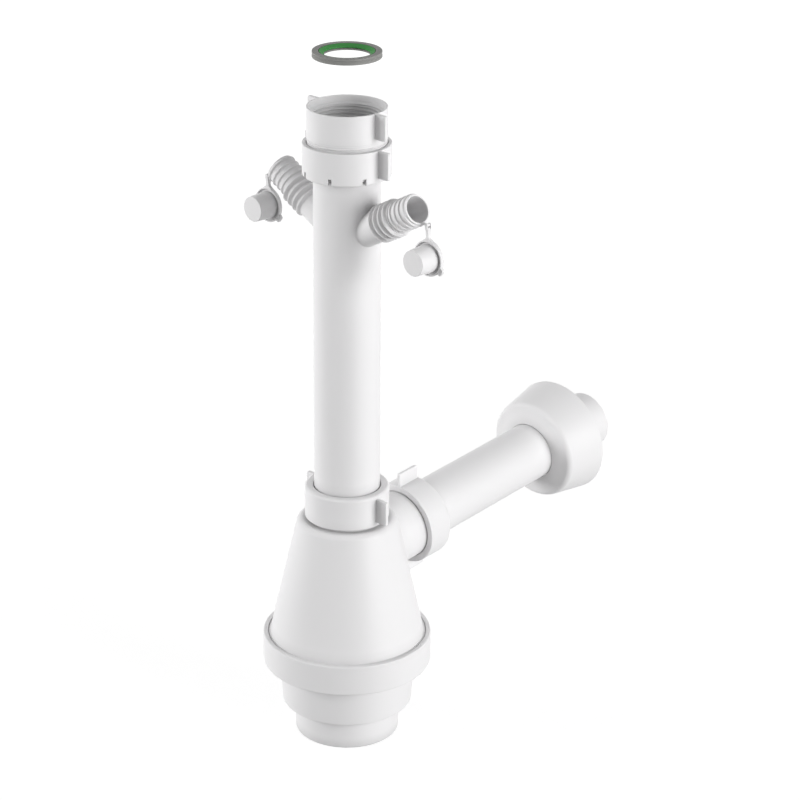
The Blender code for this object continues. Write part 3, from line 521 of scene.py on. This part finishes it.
def moulded(name, colour, roughness, spread, grain, grain_size, clouds, painted_shade=0.64):
    """Moulded plastic or rubber: clouds of tone, painted shade in creases, uneven gloss and a fine
    grain.

    Painted shade: where the surface round a point is closed in, its tone goes towards painted_shade
    times the colour.
    """
    material = bpy.data.materials.new(name)
    material.use_nodes = True
    shader = Shader(material.node_tree)
    place = shader.node("ShaderNodeTexCoord", output=3)
    cloud = shader.noise(place, clouds, 3.0)
    fine = shader.noise(place, 1.0 / grain_size, 2.0)
    tone = shader.mix(cloud, coloured(colour, 1.0 - spread), coloured(colour, 1.0 + spread))
    # painted shade: the Ambient Occlusion value darkens the base colour in creases, junctions and
    # gaps between parts
    painted_shade_openness = shader.node("ShaderNodeAmbientOcclusion", {"samples": 16}, {"Distance": 0.008},
                           output=1)
    tone = shader.mix(painted_shade_openness, coloured(colour, painted_shade), tone)
    gloss = roughness - 0.05 + 0.1 * shader.noise(place, 3.0 * clouds, 4.0, 0.6)
    bump = shader.node("ShaderNodeBump", None, {
        "Strength": grain, "Distance": 0.0002, "Height": fine})
    surface = shader.node("ShaderNodeBsdfPrincipled", None, {
        "Base Color": tone, "Roughness": gloss, "Normal": bump, "Metallic": 0.0,
        "IOR": 1.49, "Specular IOR Level": 0.3})
    shader.node("ShaderNodeOutputMaterial", None, {"Surface": surface})
    return material


def finish(slot):
    """Material of one of the record's slots, made once."""
    found = bpy.data.materials.get(f"trap_{slot}")
    if found:
        return found
    look = bpy.context.scene.trap_finish
    if slot == "white_plastic":
        return moulded(f"trap_{slot}", look.plastic, look.plastic_roughness, spread=0.012,
                       grain=0.10, grain_size=0.0009, clouds=24.0)
    return moulded(f"trap_{slot}", getattr(look, slot), look.rubber_roughness, spread=0.06,
                   grain=0.35, grain_size=0.0005, clouds=90.0)


# Pieces ----------------------------------------------------------------------------------


def lengths():
    """Detail sizes in millimetres, the edge radius among them, and the angles of a full turn."""
    sizes = bpy.context.scene.trap_sizes
    return sizes, sizes.edge / MM, ring_angles(sizes.steps)


def white_piece(node, parts):
    """White moulding in place of the CAD node of the same name."""
    return make_piece(f"{node}_skin", parts, node, finish("white_plastic"))


def make_cup():
    """Cup, turned: foot, bowl and collar outside, the same less a wall inside, and a thread."""
    sizes, edge, angles = lengths()
    pitch = sizes.cup_pitch / MM
    inner_foot, inner_low, inner_high = (r - CUP_WALL for r in (FOOT, BOWL_LOW, BOWL_HIGH))
    outline = rounded([
        (0.0, 0.0, 0.0), (FOOT, 0.0, 1.0), (FOOT, FOOT_TOP, edge), (BOWL_LOW, FOOT_TOP, 0.9),
        (BOWL_HIGH, BOWL_TOP, edge), (COLLAR, BOWL_TOP, 1.0), (COLLAR, COLLAR_TOP, 0.9),
        (CUP_BORE, COLLAR_TOP, 0.5), (CUP_BORE, CUP_SEAT, 0.3), (inner_high, CUP_SEAT, 0.8),
        (inner_low, FOOT_TOP + CUP_WALL, 1.0), (inner_foot, FOOT_TOP + CUP_WALL, 1.0),
        (inner_foot, CUP_FLOOR, 1.5), (0.0, CUP_FLOOR, 0.0)], edge)
    outline = refined(outline, CUP_SEAT, COLLAR_TOP, pitch / 12)
    shape = thread(CUP_BORE, 57.0, 72.0, pitch, 0.9, run=2.0)
    white_piece("cup", [turned(outline, angles, shape)])


def bottle_outline(edge):
    """Outer wall of the bottle from the skirt to the neck, and its inner wall back down."""
    slope = (CONE_LOW - CONE_TOP) / (SHOULDER_TOP - SKIRT_TOP)
    roof = SHOULDER_TOP - BOTTLE_ROOF
    inner_low = CONE_LOW - BOTTLE_WALL
    inner_top = inner_low - slope * (roof - SKIRT_TOP)
    return rounded([
        (SKIRT_BORE, SKIRT_LOW), (SKIRT, SKIRT_LOW), (SKIRT, SKIRT_TOP, 0.3),
        (CONE_LOW, SKIRT_TOP, 0.2), (CONE_TOP, SHOULDER_TOP, SHOULDER_ROUND),
        (NECK, SHOULDER_TOP, 0.6), (NECK, NECK_TOP, 0.5), (NECK_SEAT, NECK_TOP, 0.2),
        (23.0, NECK_TOP - SEAT_DEPTH, 0.0), (TUBE_HOLE, NECK_TOP - SEAT_DEPTH, 0.1),
        (TUBE_HOLE, roof, 0.3), (inner_top, roof, 4.0), (inner_low, SKIRT_TOP, 0.5),
        (SKIRT_BORE, SKIRT_TOP - BOTTLE_ROOF, 0.5)], edge, segments=8)


def drill(bore, low, high, steps, matrix):
    """Plain cylinder between two distances along a matrix's axis, to pierce a wall with."""
    outline = np.array([(0.0, low), (bore, low), (bore, high), (0.0, high)])
    return placed(turned(outline, ring_angles(steps)), matrix)


def make_bottle():
    """Bottle: turned body with its two threads, and the threaded spigot that grows out of it."""
    sizes, edge, angles = lengths()
    pipe_pitch, pipe_depth = sizes.thread_pitch / MM, sizes.thread_depth / MM
    cup_pitch = sizes.cup_pitch / MM
    outline = bottle_outline(edge)
    outer = outline[: int(np.argmax(outline[:, 1]))]
    climbing = outer[(outer[:, 1] > SKIRT_TOP) & (outer[:, 1] < SHOULDER_TOP)
                     & (outer[:, 0] > NECK + 1)]
    outer_host = (climbing[:, 1], climbing[:, 0])
    inner_host = (climbing[:, 1], climbing[:, 0] - BOTTLE_WALL)
    fine = refined(outline, SKIRT_LOW, SKIRT_TOP, cup_pitch / 12)
    fine = refined(fine, SHOULDER_TOP, NECK_TOP, pipe_pitch / 12)
    coarse = thread(SKIRT, SKIRT_LOW, SKIRT_TOP - 1.5, cup_pitch, -0.9, run=1.5)
    neck = thread(NECK, SHOULDER_TOP + 1.0, NECK_TOP, pipe_pitch, -pipe_depth)
    body = turned(fine, angles, lambda r, a, z: neck(coarse(r, a, z), a, z))
    place = outlet_frame()
    body = pierced(body, [drill(SPIGOT_BORE + 1.0, 24.0, 60.0, 96, place)])

    outside = [(SPIGOT, along) for along in np.linspace(52.0, SPIGOT_END - 0.6, 76)]
    seat = SPIGOT_END - SEAT_DEPTH
    tip = rounded([(SPIGOT, 60.0), (SPIGOT, SPIGOT_END, 0.5), (SPIGOT_SEAT, SPIGOT_END, 0.2),
                   (21.1, seat, 0.0), (SPIGOT_BORE, seat, 0.0), (SPIGOT_BORE, 50.0)], 0.0)
    tip = [tuple(point) for point in tip
           if point[1] > SPIGOT_END - 0.55 or point[0] < SPIGOT - 0.1]
    points, faces = branch(place, outside, tip, SPIGOT_BORE, sizes.fillet / MM, outer_host,
                           inner_host, angles)
    turn, start = np.array(place.to_3x3()), np.array(place.translation)
    local = (points - start) @ turn
    radius, angle = np.hypot(local[:, 0], local[:, 1]), np.arctan2(local[:, 1], local[:, 0])
    cut = thread(SPIGOT, 52.5, SPIGOT_END, pipe_pitch, -pipe_depth)(radius, angle, local[:, 2])
    local[:, :2] *= (cut / radius)[:, None]
    white_piece("bottle", [body, (local @ turn.T + start, faces)])


def nut_body(corners, bore, low, high, shape=None, angles=None):
    """Turned nut whose bore carries the pipe thread; shape(r, a, z) may move r after it."""
    sizes, edge, even = lengths()
    pitch = sizes.thread_pitch / MM
    outline = refined(rounded(corners, edge), low, high, pitch / 12)
    inner = thread(bore, low, high, pitch, sizes.thread_depth / MM)
    both = inner if shape is None else (lambda r, a, z: shape(inner(r, a, z), a, z))
    return turned(outline, even if angles is None else angles, both)


def make_bottle_nut():
    """Nut on the bottle's neck, with a hole for the dip tube in its top."""
    sizes, _, _ = lengths()
    low, top, bore = BOTTLE_NUT_LOW, BOTTLE_NUT_TOP, NECK + NUT_GAP
    plate, wing_top = top - NUT_PLATE, top - 2.4
    body = nut_body([(bore, low, 0.3), (BOTTLE_NUT, low, 0.5), (BOTTLE_NUT, top, 1.8),
                     (TUBE_HOLE, top, 0.9), (TUBE_HOLE, plate, 0.2), (bore, plate, 0.2)],
                    bore, low + 1.0, plate - 0.2)
    white_piece("bottle_nut",
                [body] + wings(BOTTLE_NUT, 9.2, wing_top - 16.8, wing_top, sizes.wing_edge / MM))


def make_coupling_nut():
    """Nut under the adapter: its radius steps in at eight notches in the lower edge.

    A notch holds where the angle to its middle is under half its width and z is under its top.
    There the radius is at most its floor, which lies deeper in the bottom plate.
    """
    sizes, _, even = lengths()
    low, top, bore, radius = COUPLING_NUT_LOW, COUPLING_NUT_TOP, FLANGE + NUT_GAP, COUPLING_NUT
    half, notch_top, plate = NOTCH_HALF / radius, low + NOTCH_HEIGHT, low + 2.5
    middles = (np.arange(NOTCHES) + 0.5) * 2 * math.pi / NOTCHES
    sides = np.concatenate([middles - half, middles + half])
    angles = np.unique(np.concatenate([even, sides - 0.0006, sides + 0.0006]) % (2 * math.pi))

    def notched(r, a, z):
        away = np.abs((a[..., None] - middles + math.pi) % (2 * math.pi) - math.pi).min(-1)
        floor = np.where(z < low + 2.35, radius - 5.8, radius - 2.3)
        return np.where((away < half) & (z < notch_top), np.minimum(r, floor), r)

    corners = [(TUBE_HOLE, low, 0.3), (radius, low, 1.8), (radius, low + 2.3, 0.0),
               (radius, low + 2.4, 0.0), (radius, notch_top - 0.01, 0.0),
               (radius, notch_top + 0.01, 0.0), (radius, top, 0.5), (bore, top, 0.4),
               (bore, plate, 0.2), (TUBE_HOLE, plate, 0.2)]
    body = nut_body(corners, bore, low + 3.0, top - 0.5, notched, angles)
    white_piece("coupling_nut", [body] + wings(radius, 8.7, top - 17.9, top, sizes.wing_edge / MM))


def make_outlet_nut():
    """Nut on the spigot, rounded towards the pipe, with one wing up and one down."""
    sizes, _, _ = lengths()
    front, back, bore = OUTLET_NUT_FRONT, OUTLET_NUT_BACK, SPIGOT + NUT_GAP
    plate = back - NUT_PLATE
    body = nut_body([(bore, front, 0.4), (OUTLET_NUT, front, 0.5), (OUTLET_NUT, back, 4.5),
                     (OUTLET_NUT_HOLE, back, 0.4), (OUTLET_NUT_HOLE, plate, 0.2),
                     (bore, plate, 0.2)], bore, front + 1.0, plate - 0.2)
    parts = [body] + wings(OUTLET_NUT, 9.5, front, front + 17.5, sizes.wing_edge / MM, math.pi / 2)
    white_piece("outlet_nut", [placed(part, outlet_frame()) for part in parts])


def make_adapter():
    """Inlet adapter, turned: thread outside below its head, thread and seal ledge inside."""
    sizes, edge, angles = lengths()
    pitch, depth = sizes.thread_pitch / MM, sizes.thread_depth / MM
    outline = rounded([
        (TUBE_BORE, ADAPTER_LOW, 0.3), (FLANGE, ADAPTER_LOW, 0.6), (FLANGE, HEAD_LOW, 0.1),
        (HEAD, HEAD_LOW, 0.1), (HEAD, HEAD_TOP, 0.35), (INLET, HEAD_TOP, 0.3), (INLET, LEDGE, 0.3),
        (INLET_THREAD, LEDGE - 1.0, 0.2), (INLET_THREAD, INLET_LOW, 0.2),
        (TUBE_BORE, INLET_LOW, 0.3)], edge)
    outline = refined(outline, ADAPTER_LOW, HEAD_LOW, pitch / 12)
    outline = refined(outline, INLET_LOW, LEDGE, pitch / 12)
    male = thread(FLANGE, ADAPTER_LOW, HEAD_LOW - 1.2, pitch, -depth, run=1.2)
    female = thread(INLET_THREAD, INLET_LOW + 0.8, LEDGE - 0.8, pitch, 1.1, run=0.8)
    body = turned(outline, angles, lambda r, a, z: female(male(r, a, z), a, z))
    white_piece("inlet_adapter",
                [body] + wings(HEAD, 8.7, HEAD_TOP - 16.6, HEAD_TOP, sizes.wing_edge / MM))


def tail_profile():
    """Outside of a hose tail as (radius, distance): root, four full ribs, four thin ones, rim.

    A rib is groove + depth * rise, where the rise climbs from 0 to 1 over the long flank on the
    root's side, stays 1 on the crest and falls over the short flank on the mouth's side. Half of
    it is eased by t t (3 - 2 t), which rounds the corners.
    """
    def ribs(along, crest_at, pitch, groove, depth, crest, root_flank, mouth_flank):
        off = (along - crest_at + pitch / 2) % pitch - pitch / 2
        rise = np.clip(np.minimum(1 + (off + crest / 2) / root_flank,
                                  1 - (off - crest / 2) / mouth_flank), 0, 1)
        return groove + depth * (0.5 * rise + 0.5 * rise * rise * (3 - 2 * rise))

    along = np.arange(TAIL_ROOT_END, TAIL_END - 0.5, 0.12)
    radius = np.where(along < RIB_STEP, ribs(along, *LARGE_RIBS), ribs(along, *SMALL_RIBS))
    radius = np.where(along < TAIL_ROOT_END + 1.0, np.maximum(radius, TAIL_ROOT), radius)
    return list(zip(radius, along))


def under_tail(along, below):
    """Point under a tail's axis: its distance from the tube's axis, and its height."""
    return (along * math.cos(TAIL_ANGLE) + below * math.sin(TAIL_ANGLE),
            TAIL_HEIGHT + along * math.sin(TAIL_ANGLE) - below * math.cos(TAIL_ANGLE))


def make_lug(side, length):
    """Level bar out of the rim's lowest point, with the round pin on its end."""
    reach, height = under_tail(TAIL_END, (TAIL_BORE + TAIL_RIM) / 2)
    angles = np.radians(np.linspace(-150, 150, 20))
    pin = np.column_stack([reach + length + PIN * np.cos(angles), height + PIN * np.sin(angles)])
    root = [under_tail(TAIL_END - 1.0, 8.85), under_tail(TAIL_END - 1.0, 9.65),
            (reach, height - 0.5)]
    outline = np.concatenate([root, pin, [(reach, height + 0.5)]]) * (side, 1)
    return slab(outline if side > 0 else outline[::-1], STRAP_THICK, 0.2)


def make_dip_tube():
    """Dip tube: turned tube with its flange, bored for the two hose tails that grow out of it."""
    _, edge, angles = lengths()
    tube = turned(rounded([(TUBE_BORE, TUBE_LOW), (TUBE, TUBE_LOW), (TUBE, FLANGE_LOW, 0.4),
                           (FLANGE, FLANGE_LOW), (FLANGE, FLANGE_TOP),
                           (TUBE_BORE, FLANGE_TOP)], edge), angles)
    tube = pierced(tube, [drill(TAIL_BORE + 0.8, 12.0, 38.0, 72, tail_frame(side))
                          for side in (1, -1)])
    outside = [(TAIL_ROOT, 33.0)] + tail_profile()
    mouth = [(TAIL_RIM, TAIL_END - 0.35), (TAIL_RIM - 0.1, TAIL_END - 0.1),
             (TAIL_RIM - 0.35, TAIL_END), (TAIL_BORE + 0.12, TAIL_END),
             (TAIL_BORE, TAIL_END - 0.12), (TAIL_BORE, TAIL_END - 12.0)]
    heights = np.array([0.0, 500.0])
    outer_host, inner_host = (heights, [TUBE, TUBE]), (heights, [TUBE_BORE, TUBE_BORE])
    parts = [tube]
    for side, lug, _, _ in LUGS.values():
        parts.append(branch(tail_frame(side), outside, mouth, TAIL_BORE, 0.5, outer_host,
                            inner_host, ring_angles(120)))
        parts.append(make_lug(side, lug))
    white_piece("dip_tube", parts)


def make_plug(node, side, lug, strap, lean):
    """Blanking plug: recessed disc, hollow tapered body, strap with two ears, and pull tab."""
    reach, height = under_tail(TAIL_END, (TAIL_BORE + TAIL_RIM) / 2)
    hang = Matrix.Translation((side * (reach + lug), 0.0, height))
    hang = hang @ Matrix.Rotation(-math.radians(lean), 4, "Y")
    down = hang @ Matrix.Translation((0, 0, -strap))
    disc = turned(rounded([
        (0.0, PLUG_HOLLOW_END, 0.0), (PLUG_HOLLOW, PLUG_HOLLOW_END, 0.5),
        (PLUG_HOLLOW, -PLUG_FACE, 0.3), (PLUG, -PLUG_FACE, 0.7), (PLUG, PLUG_FACE, 0.5),
        (PLUG_RIM, PLUG_FACE, 0.3), (PLUG_RIM, 0.1, 0.2), (PLUG_MOUTH, 0.1, 0.3),
        (PLUG_TIP, PLUG_END, 0.6), (0.0, PLUG_END, 0.0)][::-1], 0.3), ring_angles(120))
    rim = PLUG - strap
    half = [(0.75, -1.5), (1.2, -2.9), (1.2, rim + 1.4, 1.8), (4.0, rim - 0.45, 0.4),
            (3.6, rim - 1.05, 0.4)]
    strap_outline = rounded(half[::-1] + [(-point[0],) + tuple(point[1:]) for point in half], 0.6)
    ear = rounded([(EAR_HALF, EAR_LOW, 0.3), (EAR_HALF, EAR_TOP, 1.1), (-EAR_HALF, EAR_TOP, 1.1),
                   (-EAR_HALF, EAR_LOW, 0.3)], 0.3)
    tab = rounded([(TAB_NEAR, -TAB_HALF, 0.7), (TAB_FAR, -TAB_HALF, 1.7), (TAB_FAR, TAB_HALF, 1.7),
                   (TAB_NEAR, TAB_HALF, 0.7)], 0.7)
    parts = [placed(disc, down @ Matrix.Rotation(math.pi / 2, 4, "X")),
             placed(slab(strap_outline, STRAP_THICK, 0.35), hang),
             placed(slab(tab, STRAP_THICK, 0.6), down @ Matrix.Rotation(TAB_TURN, 4, "Y"))]
    for y in (-1.5, 1.5):
        parts.append(placed(slab(ear, 0.45, 0.1), hang @ Matrix.Translation((0, y, 0))))
    white_piece(node, parts)


def make_seal():
    """Lifted inlet seal: a grey ring with a waist round its edge, and the green lip inside."""
    _, _, angles = lengths()
    middle = (SEAL_LOW + SEAL_TOP) / 2
    ring = rounded([(SEAL_HOLE, SEAL_LOW), (SEAL, SEAL_LOW), (SEAL, middle - 0.8, 0.2),
                    (SEAL - 0.45, middle, 0.5), (SEAL, middle + 0.8, 0.2), (SEAL, SEAL_TOP),
                    (SEAL_RECESS, SEAL_TOP, 0.2), (SEAL_RECESS, SEAL_TOP - 1.3, 0.1),
                    (SEAL_HOLE, 476.5, 0.2)], 0.35)
    lip_edge = SEAL_RECESS - 0.3
    lip = rounded([(SEAL_HOLE, 476.8), (lip_edge, 478.4), (lip_edge, SEAL_TOP),
                   (SEAL_HOLE, 477.9)], 0.25)
    for name, outline, slot in (("ring", ring, "grey_rubber"), ("lip", lip, "green_rubber")):
        node = f"inlet_seal_{name}"
        make_piece(f"{node}_skin", [turned(outline, angles)], node, finish(slot))


def make_outlet():
    """Plain outlet pipe, and the thin flared rose on it."""
    _, edge, angles = lengths()
    pipe = rounded([(PIPE_BORE, PIPE_START), (PIPE, PIPE_START), (PIPE, PIPE_END),
                    (PIPE_BORE, PIPE_END)], edge)
    white_piece("outlet_pipe", [placed(turned(pipe, angles), outlet_frame())])
    rose = rounded([(ROSE_HOLE, ROSE_FRONT, 0.2), (ROSE_SHOULDER, ROSE_FRONT + 2.1, 4.0),
                    (ROSE_RIM, ROSE_BACK, 0.5), (ROSE_RIM - 1.6, ROSE_BACK, 0.5),
                    (34.26, ROSE_FRONT + 3.6, 2.4), (ROSE_HOLE, ROSE_FRONT + 1.6, 0.2)],
                   edge, segments=8)
    white_piece("wall_rose", [placed(turned(rose, angles), outlet_frame())])


# Operators -------------------------------------------------------------------------------


class MakeCup(bpy.types.Operator):
    """Foot, bowl and threaded collar in one moulding"""

    bl_idname, bl_label = "trap.make_cup", "Cup"

    def execute(self, context):
        make_cup()
        return {"FINISHED"}


class MakeBottle(bpy.types.Operator):
    """Skirt, cone, shoulder, threaded neck and side spigot"""

    bl_idname, bl_label = "trap.make_bottle", "Bottle"

    def execute(self, context):
        make_bottle()
        return {"FINISHED"}


class MakeNuts(bpy.types.Operator):
    """The three winged nuts: on the neck, under the adapter and on the spigot"""

    bl_idname, bl_label = "trap.make_nuts", "Winged nuts"

    def execute(self, context):
        make_bottle_nut()
        make_coupling_nut()
        make_outlet_nut()
        return {"FINISHED"}


class MakeDipTube(bpy.types.Operator):
    """Dip tube with its flange, ribbed hose tails and lugs"""

    bl_idname, bl_label = "trap.make_dip_tube", "Dip tube"

    def execute(self, context):
        make_dip_tube()
        return {"FINISHED"}


class MakeAdapter(bpy.types.Operator):
    """Inlet adapter with its two threads and wings"""

    bl_idname, bl_label = "trap.make_adapter", "Inlet adapter"

    def execute(self, context):
        make_adapter()
        return {"FINISHED"}


class MakePlugs(bpy.types.Operator):
    """The two blanking plugs on their straps"""

    bl_idname, bl_label = "trap.make_plugs", "Plugs"

    def execute(self, context):
        for name, places in LUGS.items():
            make_plug(f"{name}_plug", *places)
        return {"FINISHED"}


class MakeSeal(bpy.types.Operator):
    """The lifted inlet seal: grey ring and green lip"""

    bl_idname, bl_label = "trap.make_seal", "Inlet seal"

    def execute(self, context):
        make_seal()
        return {"FINISHED"}


class MakeOutlet(bpy.types.Operator):
    """Outlet pipe and the wall rose on it"""

    bl_idname, bl_label = "trap.make_outlet", "Pipe and rose"

    def execute(self, context):
        make_outlet()
        return {"FINISHED"}


class FinishInside(bpy.types.Operator):
    """Finishes of the seals and slip rings that the nuts and the cup hide"""

    bl_idname, bl_label = "trap.finish_inside", "Inner seals"

    def execute(self, context):
        inner = {"cup_seal": "black_rubber", "bottle_cone_seal": "black_rubber",
                 "coupling_seal": "black_rubber", "outlet_cone_seal": "black_rubber",
                 "bottle_slip_ring": "white_plastic", "outlet_slip_ring": "white_plastic"}
        for node, slot in inner.items():
            for place in frame["nodes"][node].material_slots:
                place.material = finish(slot)
        return {"FINISHED"}


class MakeStage(bpy.types.Operator):
    """Floor, lamps, world and camera"""

    bl_idname, bl_label = "trap.make_stage", "Studio"

    def execute(self, context):
        stage = context.scene.trap_stage
        make_floor()
        make_world(stage.sky)
        for name, turn in LAMP_TURNS.items():
            add_lamp(name, stage.azimuth + math.radians(turn), getattr(stage, f"{name}_power"))
        make_camera(stage)
        context.scene.view_settings.view_transform = "Standard"
        return {"FINISHED"}


def seen_rays(shader):
    """1 for camera, glossy and transmission rays, 0 for those that only light things."""
    path = shader.node("ShaderNodeLightPath")
    rays = path.socket.node.outputs
    total = path + Wire(shader, rays["Is Glossy Ray"]) + Wire(shader, rays["Is Transmission Ray"])
    return shader.node("ShaderNodeClamp", None, {"Value": total, "Min": 0.0, "Max": 1.0})


def make_floor():
    """Level floor, a grid of points just under the foot, white to the camera.

    The glow's share is 0.6 near the trap, where shadows show, and grows with distance to 0.72.
    """
    span = np.linspace(-8000.0, 8000.0, 5)
    x, y = np.meshgrid(span, span)
    points = np.stack([x, y, np.full_like(x, -0.2)], -1).reshape(-1, 3)
    row, column = np.meshgrid(np.arange(4), np.arange(4), indexing="ij")
    corner = row * 5 + column
    faces = np.stack([corner, corner + 1, corner + 6, corner + 5], -1).reshape(-1, 4)
    floor = bare_object("floor", points, [faces])
    material = bpy.data.materials.new("studio_floor")
    material.use_nodes = True
    shader = Shader(material.node_tree)
    place = shader.node("ShaderNodeTexCoord", output=3)
    mottle = shader.mix(shader.noise(place, 3.0), (0.50, 0.50, 0.50, 1.0), (0.52, 0.52, 0.52, 1.0))
    matt = shader.node("ShaderNodeBsdfDiffuse", None, {"Color": mottle})
    glow = shader.node("ShaderNodeEmission", None, {"Color": (1.0, 1.0, 1.0, 1.0), "Strength": 1.45})
    reach = shader.node("ShaderNodeVectorMath", {"operation": "LENGTH"}, {0: place}, output=1)
    far = shader.node("ShaderNodeClamp", None, {"Value": 0.5 * reach - 0.35, "Min": 0.0, "Max": 1.0})
    share = (0.6 + 0.12 * far) * seen_rays(shader)
    mixed = shader.node("ShaderNodeMixShader", None, {0: share, 1: matt, 2: glow})
    shader.node("ShaderNodeOutputMaterial", None, {"Surface": mixed})
    floor.data.materials.append(material)


def make_world(level):
    """Light from all round, strongest from straight above, and white wherever it is seen."""
    world = bpy.data.worlds.new("studio_world")
    world.use_nodes = True
    shader = Shader(world.node_tree)
    direction = shader.node("ShaderNodeTexCoord", output=0)
    axes = shader.node("ShaderNodeSeparateXYZ", None, {0: direction})
    upward = Wire(shader, axes.socket.node.outputs[2])
    lift = shader.node("ShaderNodeClamp", None, {"Value": upward, "Min": 0.0, "Max": 1.0})
    strength = level * (0.3 + 0.7 * lift)
    seen = seen_rays(shader)
    mixed = strength * (1.0 - seen) + seen
    background = shader.node("ShaderNodeBackground", None, {
        "Color": (1.0, 1.0, 1.0, 1.0), "Strength": mixed})
    shader.node("ShaderNodeOutputWorld", None, {"Surface": background})
    bpy.context.scene.world = world


def add_lamp(name, azimuth, power, distance=2.5, height=0.74, size=1.4):
    """Square soft lamp at a turn round the trap, pointed at its middle."""
    place = Vector((distance * math.sin(azimuth), -distance * math.cos(azimuth), height))
    light = bpy.data.lights.new(name, "AREA")
    light.size, light.energy = size, power
    lamp = bpy.data.objects.new(name, light)
    lamp.location = place
    lamp.visible_glossy = name == "key"
    lamp.rotation_euler = (Vector(MIDDLE) - place).to_track_quat("-Z", "Y").to_euler()
    bpy.context.scene.collection.objects.link(lamp)


def make_camera(stage):
    """Camera at the picture's angle, with its own shift for the picture's off-centre frame."""
    flat = stage.distance * math.cos(stage.pitch)
    lens = bpy.data.cameras.new("camera")
    lens.lens, lens.sensor_width, lens.shift_x = stage.lens, 36.0, stage.shift
    lens.clip_end = 100.0
    camera = bpy.data.objects.new("camera", lens)
    camera.location = (flat * math.sin(stage.azimuth), -flat * math.cos(stage.azimuth),
                       stage.aim_height + stage.distance * math.sin(stage.pitch))
    camera.rotation_euler = Euler((math.pi / 2 - stage.pitch, 0.0, stage.azimuth))
    bpy.context.scene.collection.objects.link(camera)
    bpy.context.scene.camera = camera


OPERATORS = [MakeCup, MakeBottle, MakeNuts, MakeDipTube, MakeAdapter, MakePlugs, MakeSeal,
             MakeOutlet, FinishInside, MakeStage]
GROUPS = {"trap_sizes": TrapSizes, "trap_finish": TrapFinish, "trap_stage": TrapStage}


class TrapPanel(bpy.types.Panel):
    """Buttons of the pieces, and the sizes, finishes and studio behind them"""

    bl_idname, bl_label = "VIEW3D_PT_trap", "Basin bottle trap"
    bl_space_type, bl_region_type, bl_category = "VIEW_3D", "UI", "Trap"

    def draw(self, context):
        for operator in OPERATORS:
            self.layout.operator(operator.bl_idname)
        for name, group in GROUPS.items():
            box = self.layout.box()
            for field in group.__annotations__:
                box.prop(getattr(context.scene, name), field)


def register():
    """Adds the classes and the scene's settings."""
    for group in GROUPS.values():
        bpy.utils.register_class(group)
    for operator in OPERATORS:
        bpy.utils.register_class(operator)
    bpy.utils.register_class(TrapPanel)
    for name, group in GROUPS.items():
        setattr(bpy.types.Scene, name, bpy.props.PointerProperty(type=group))


def unregister():
    """Takes them away again."""
    for name in GROUPS:
        delattr(bpy.types.Scene, name)
    bpy.utils.unregister_class(TrapPanel)
    for operator in reversed(OPERATORS):
        bpy.utils.unregister_class(operator)
    for group in reversed(list(GROUPS.values())):
        bpy.utils.unregister_class(group)


def main():
    """Makes every piece and the studio."""
    register()
    for operator in OPERATORS:
        getattr(bpy.ops.trap, operator.bl_idname.split(".")[1])()


if __name__ == "__main__":
    main()
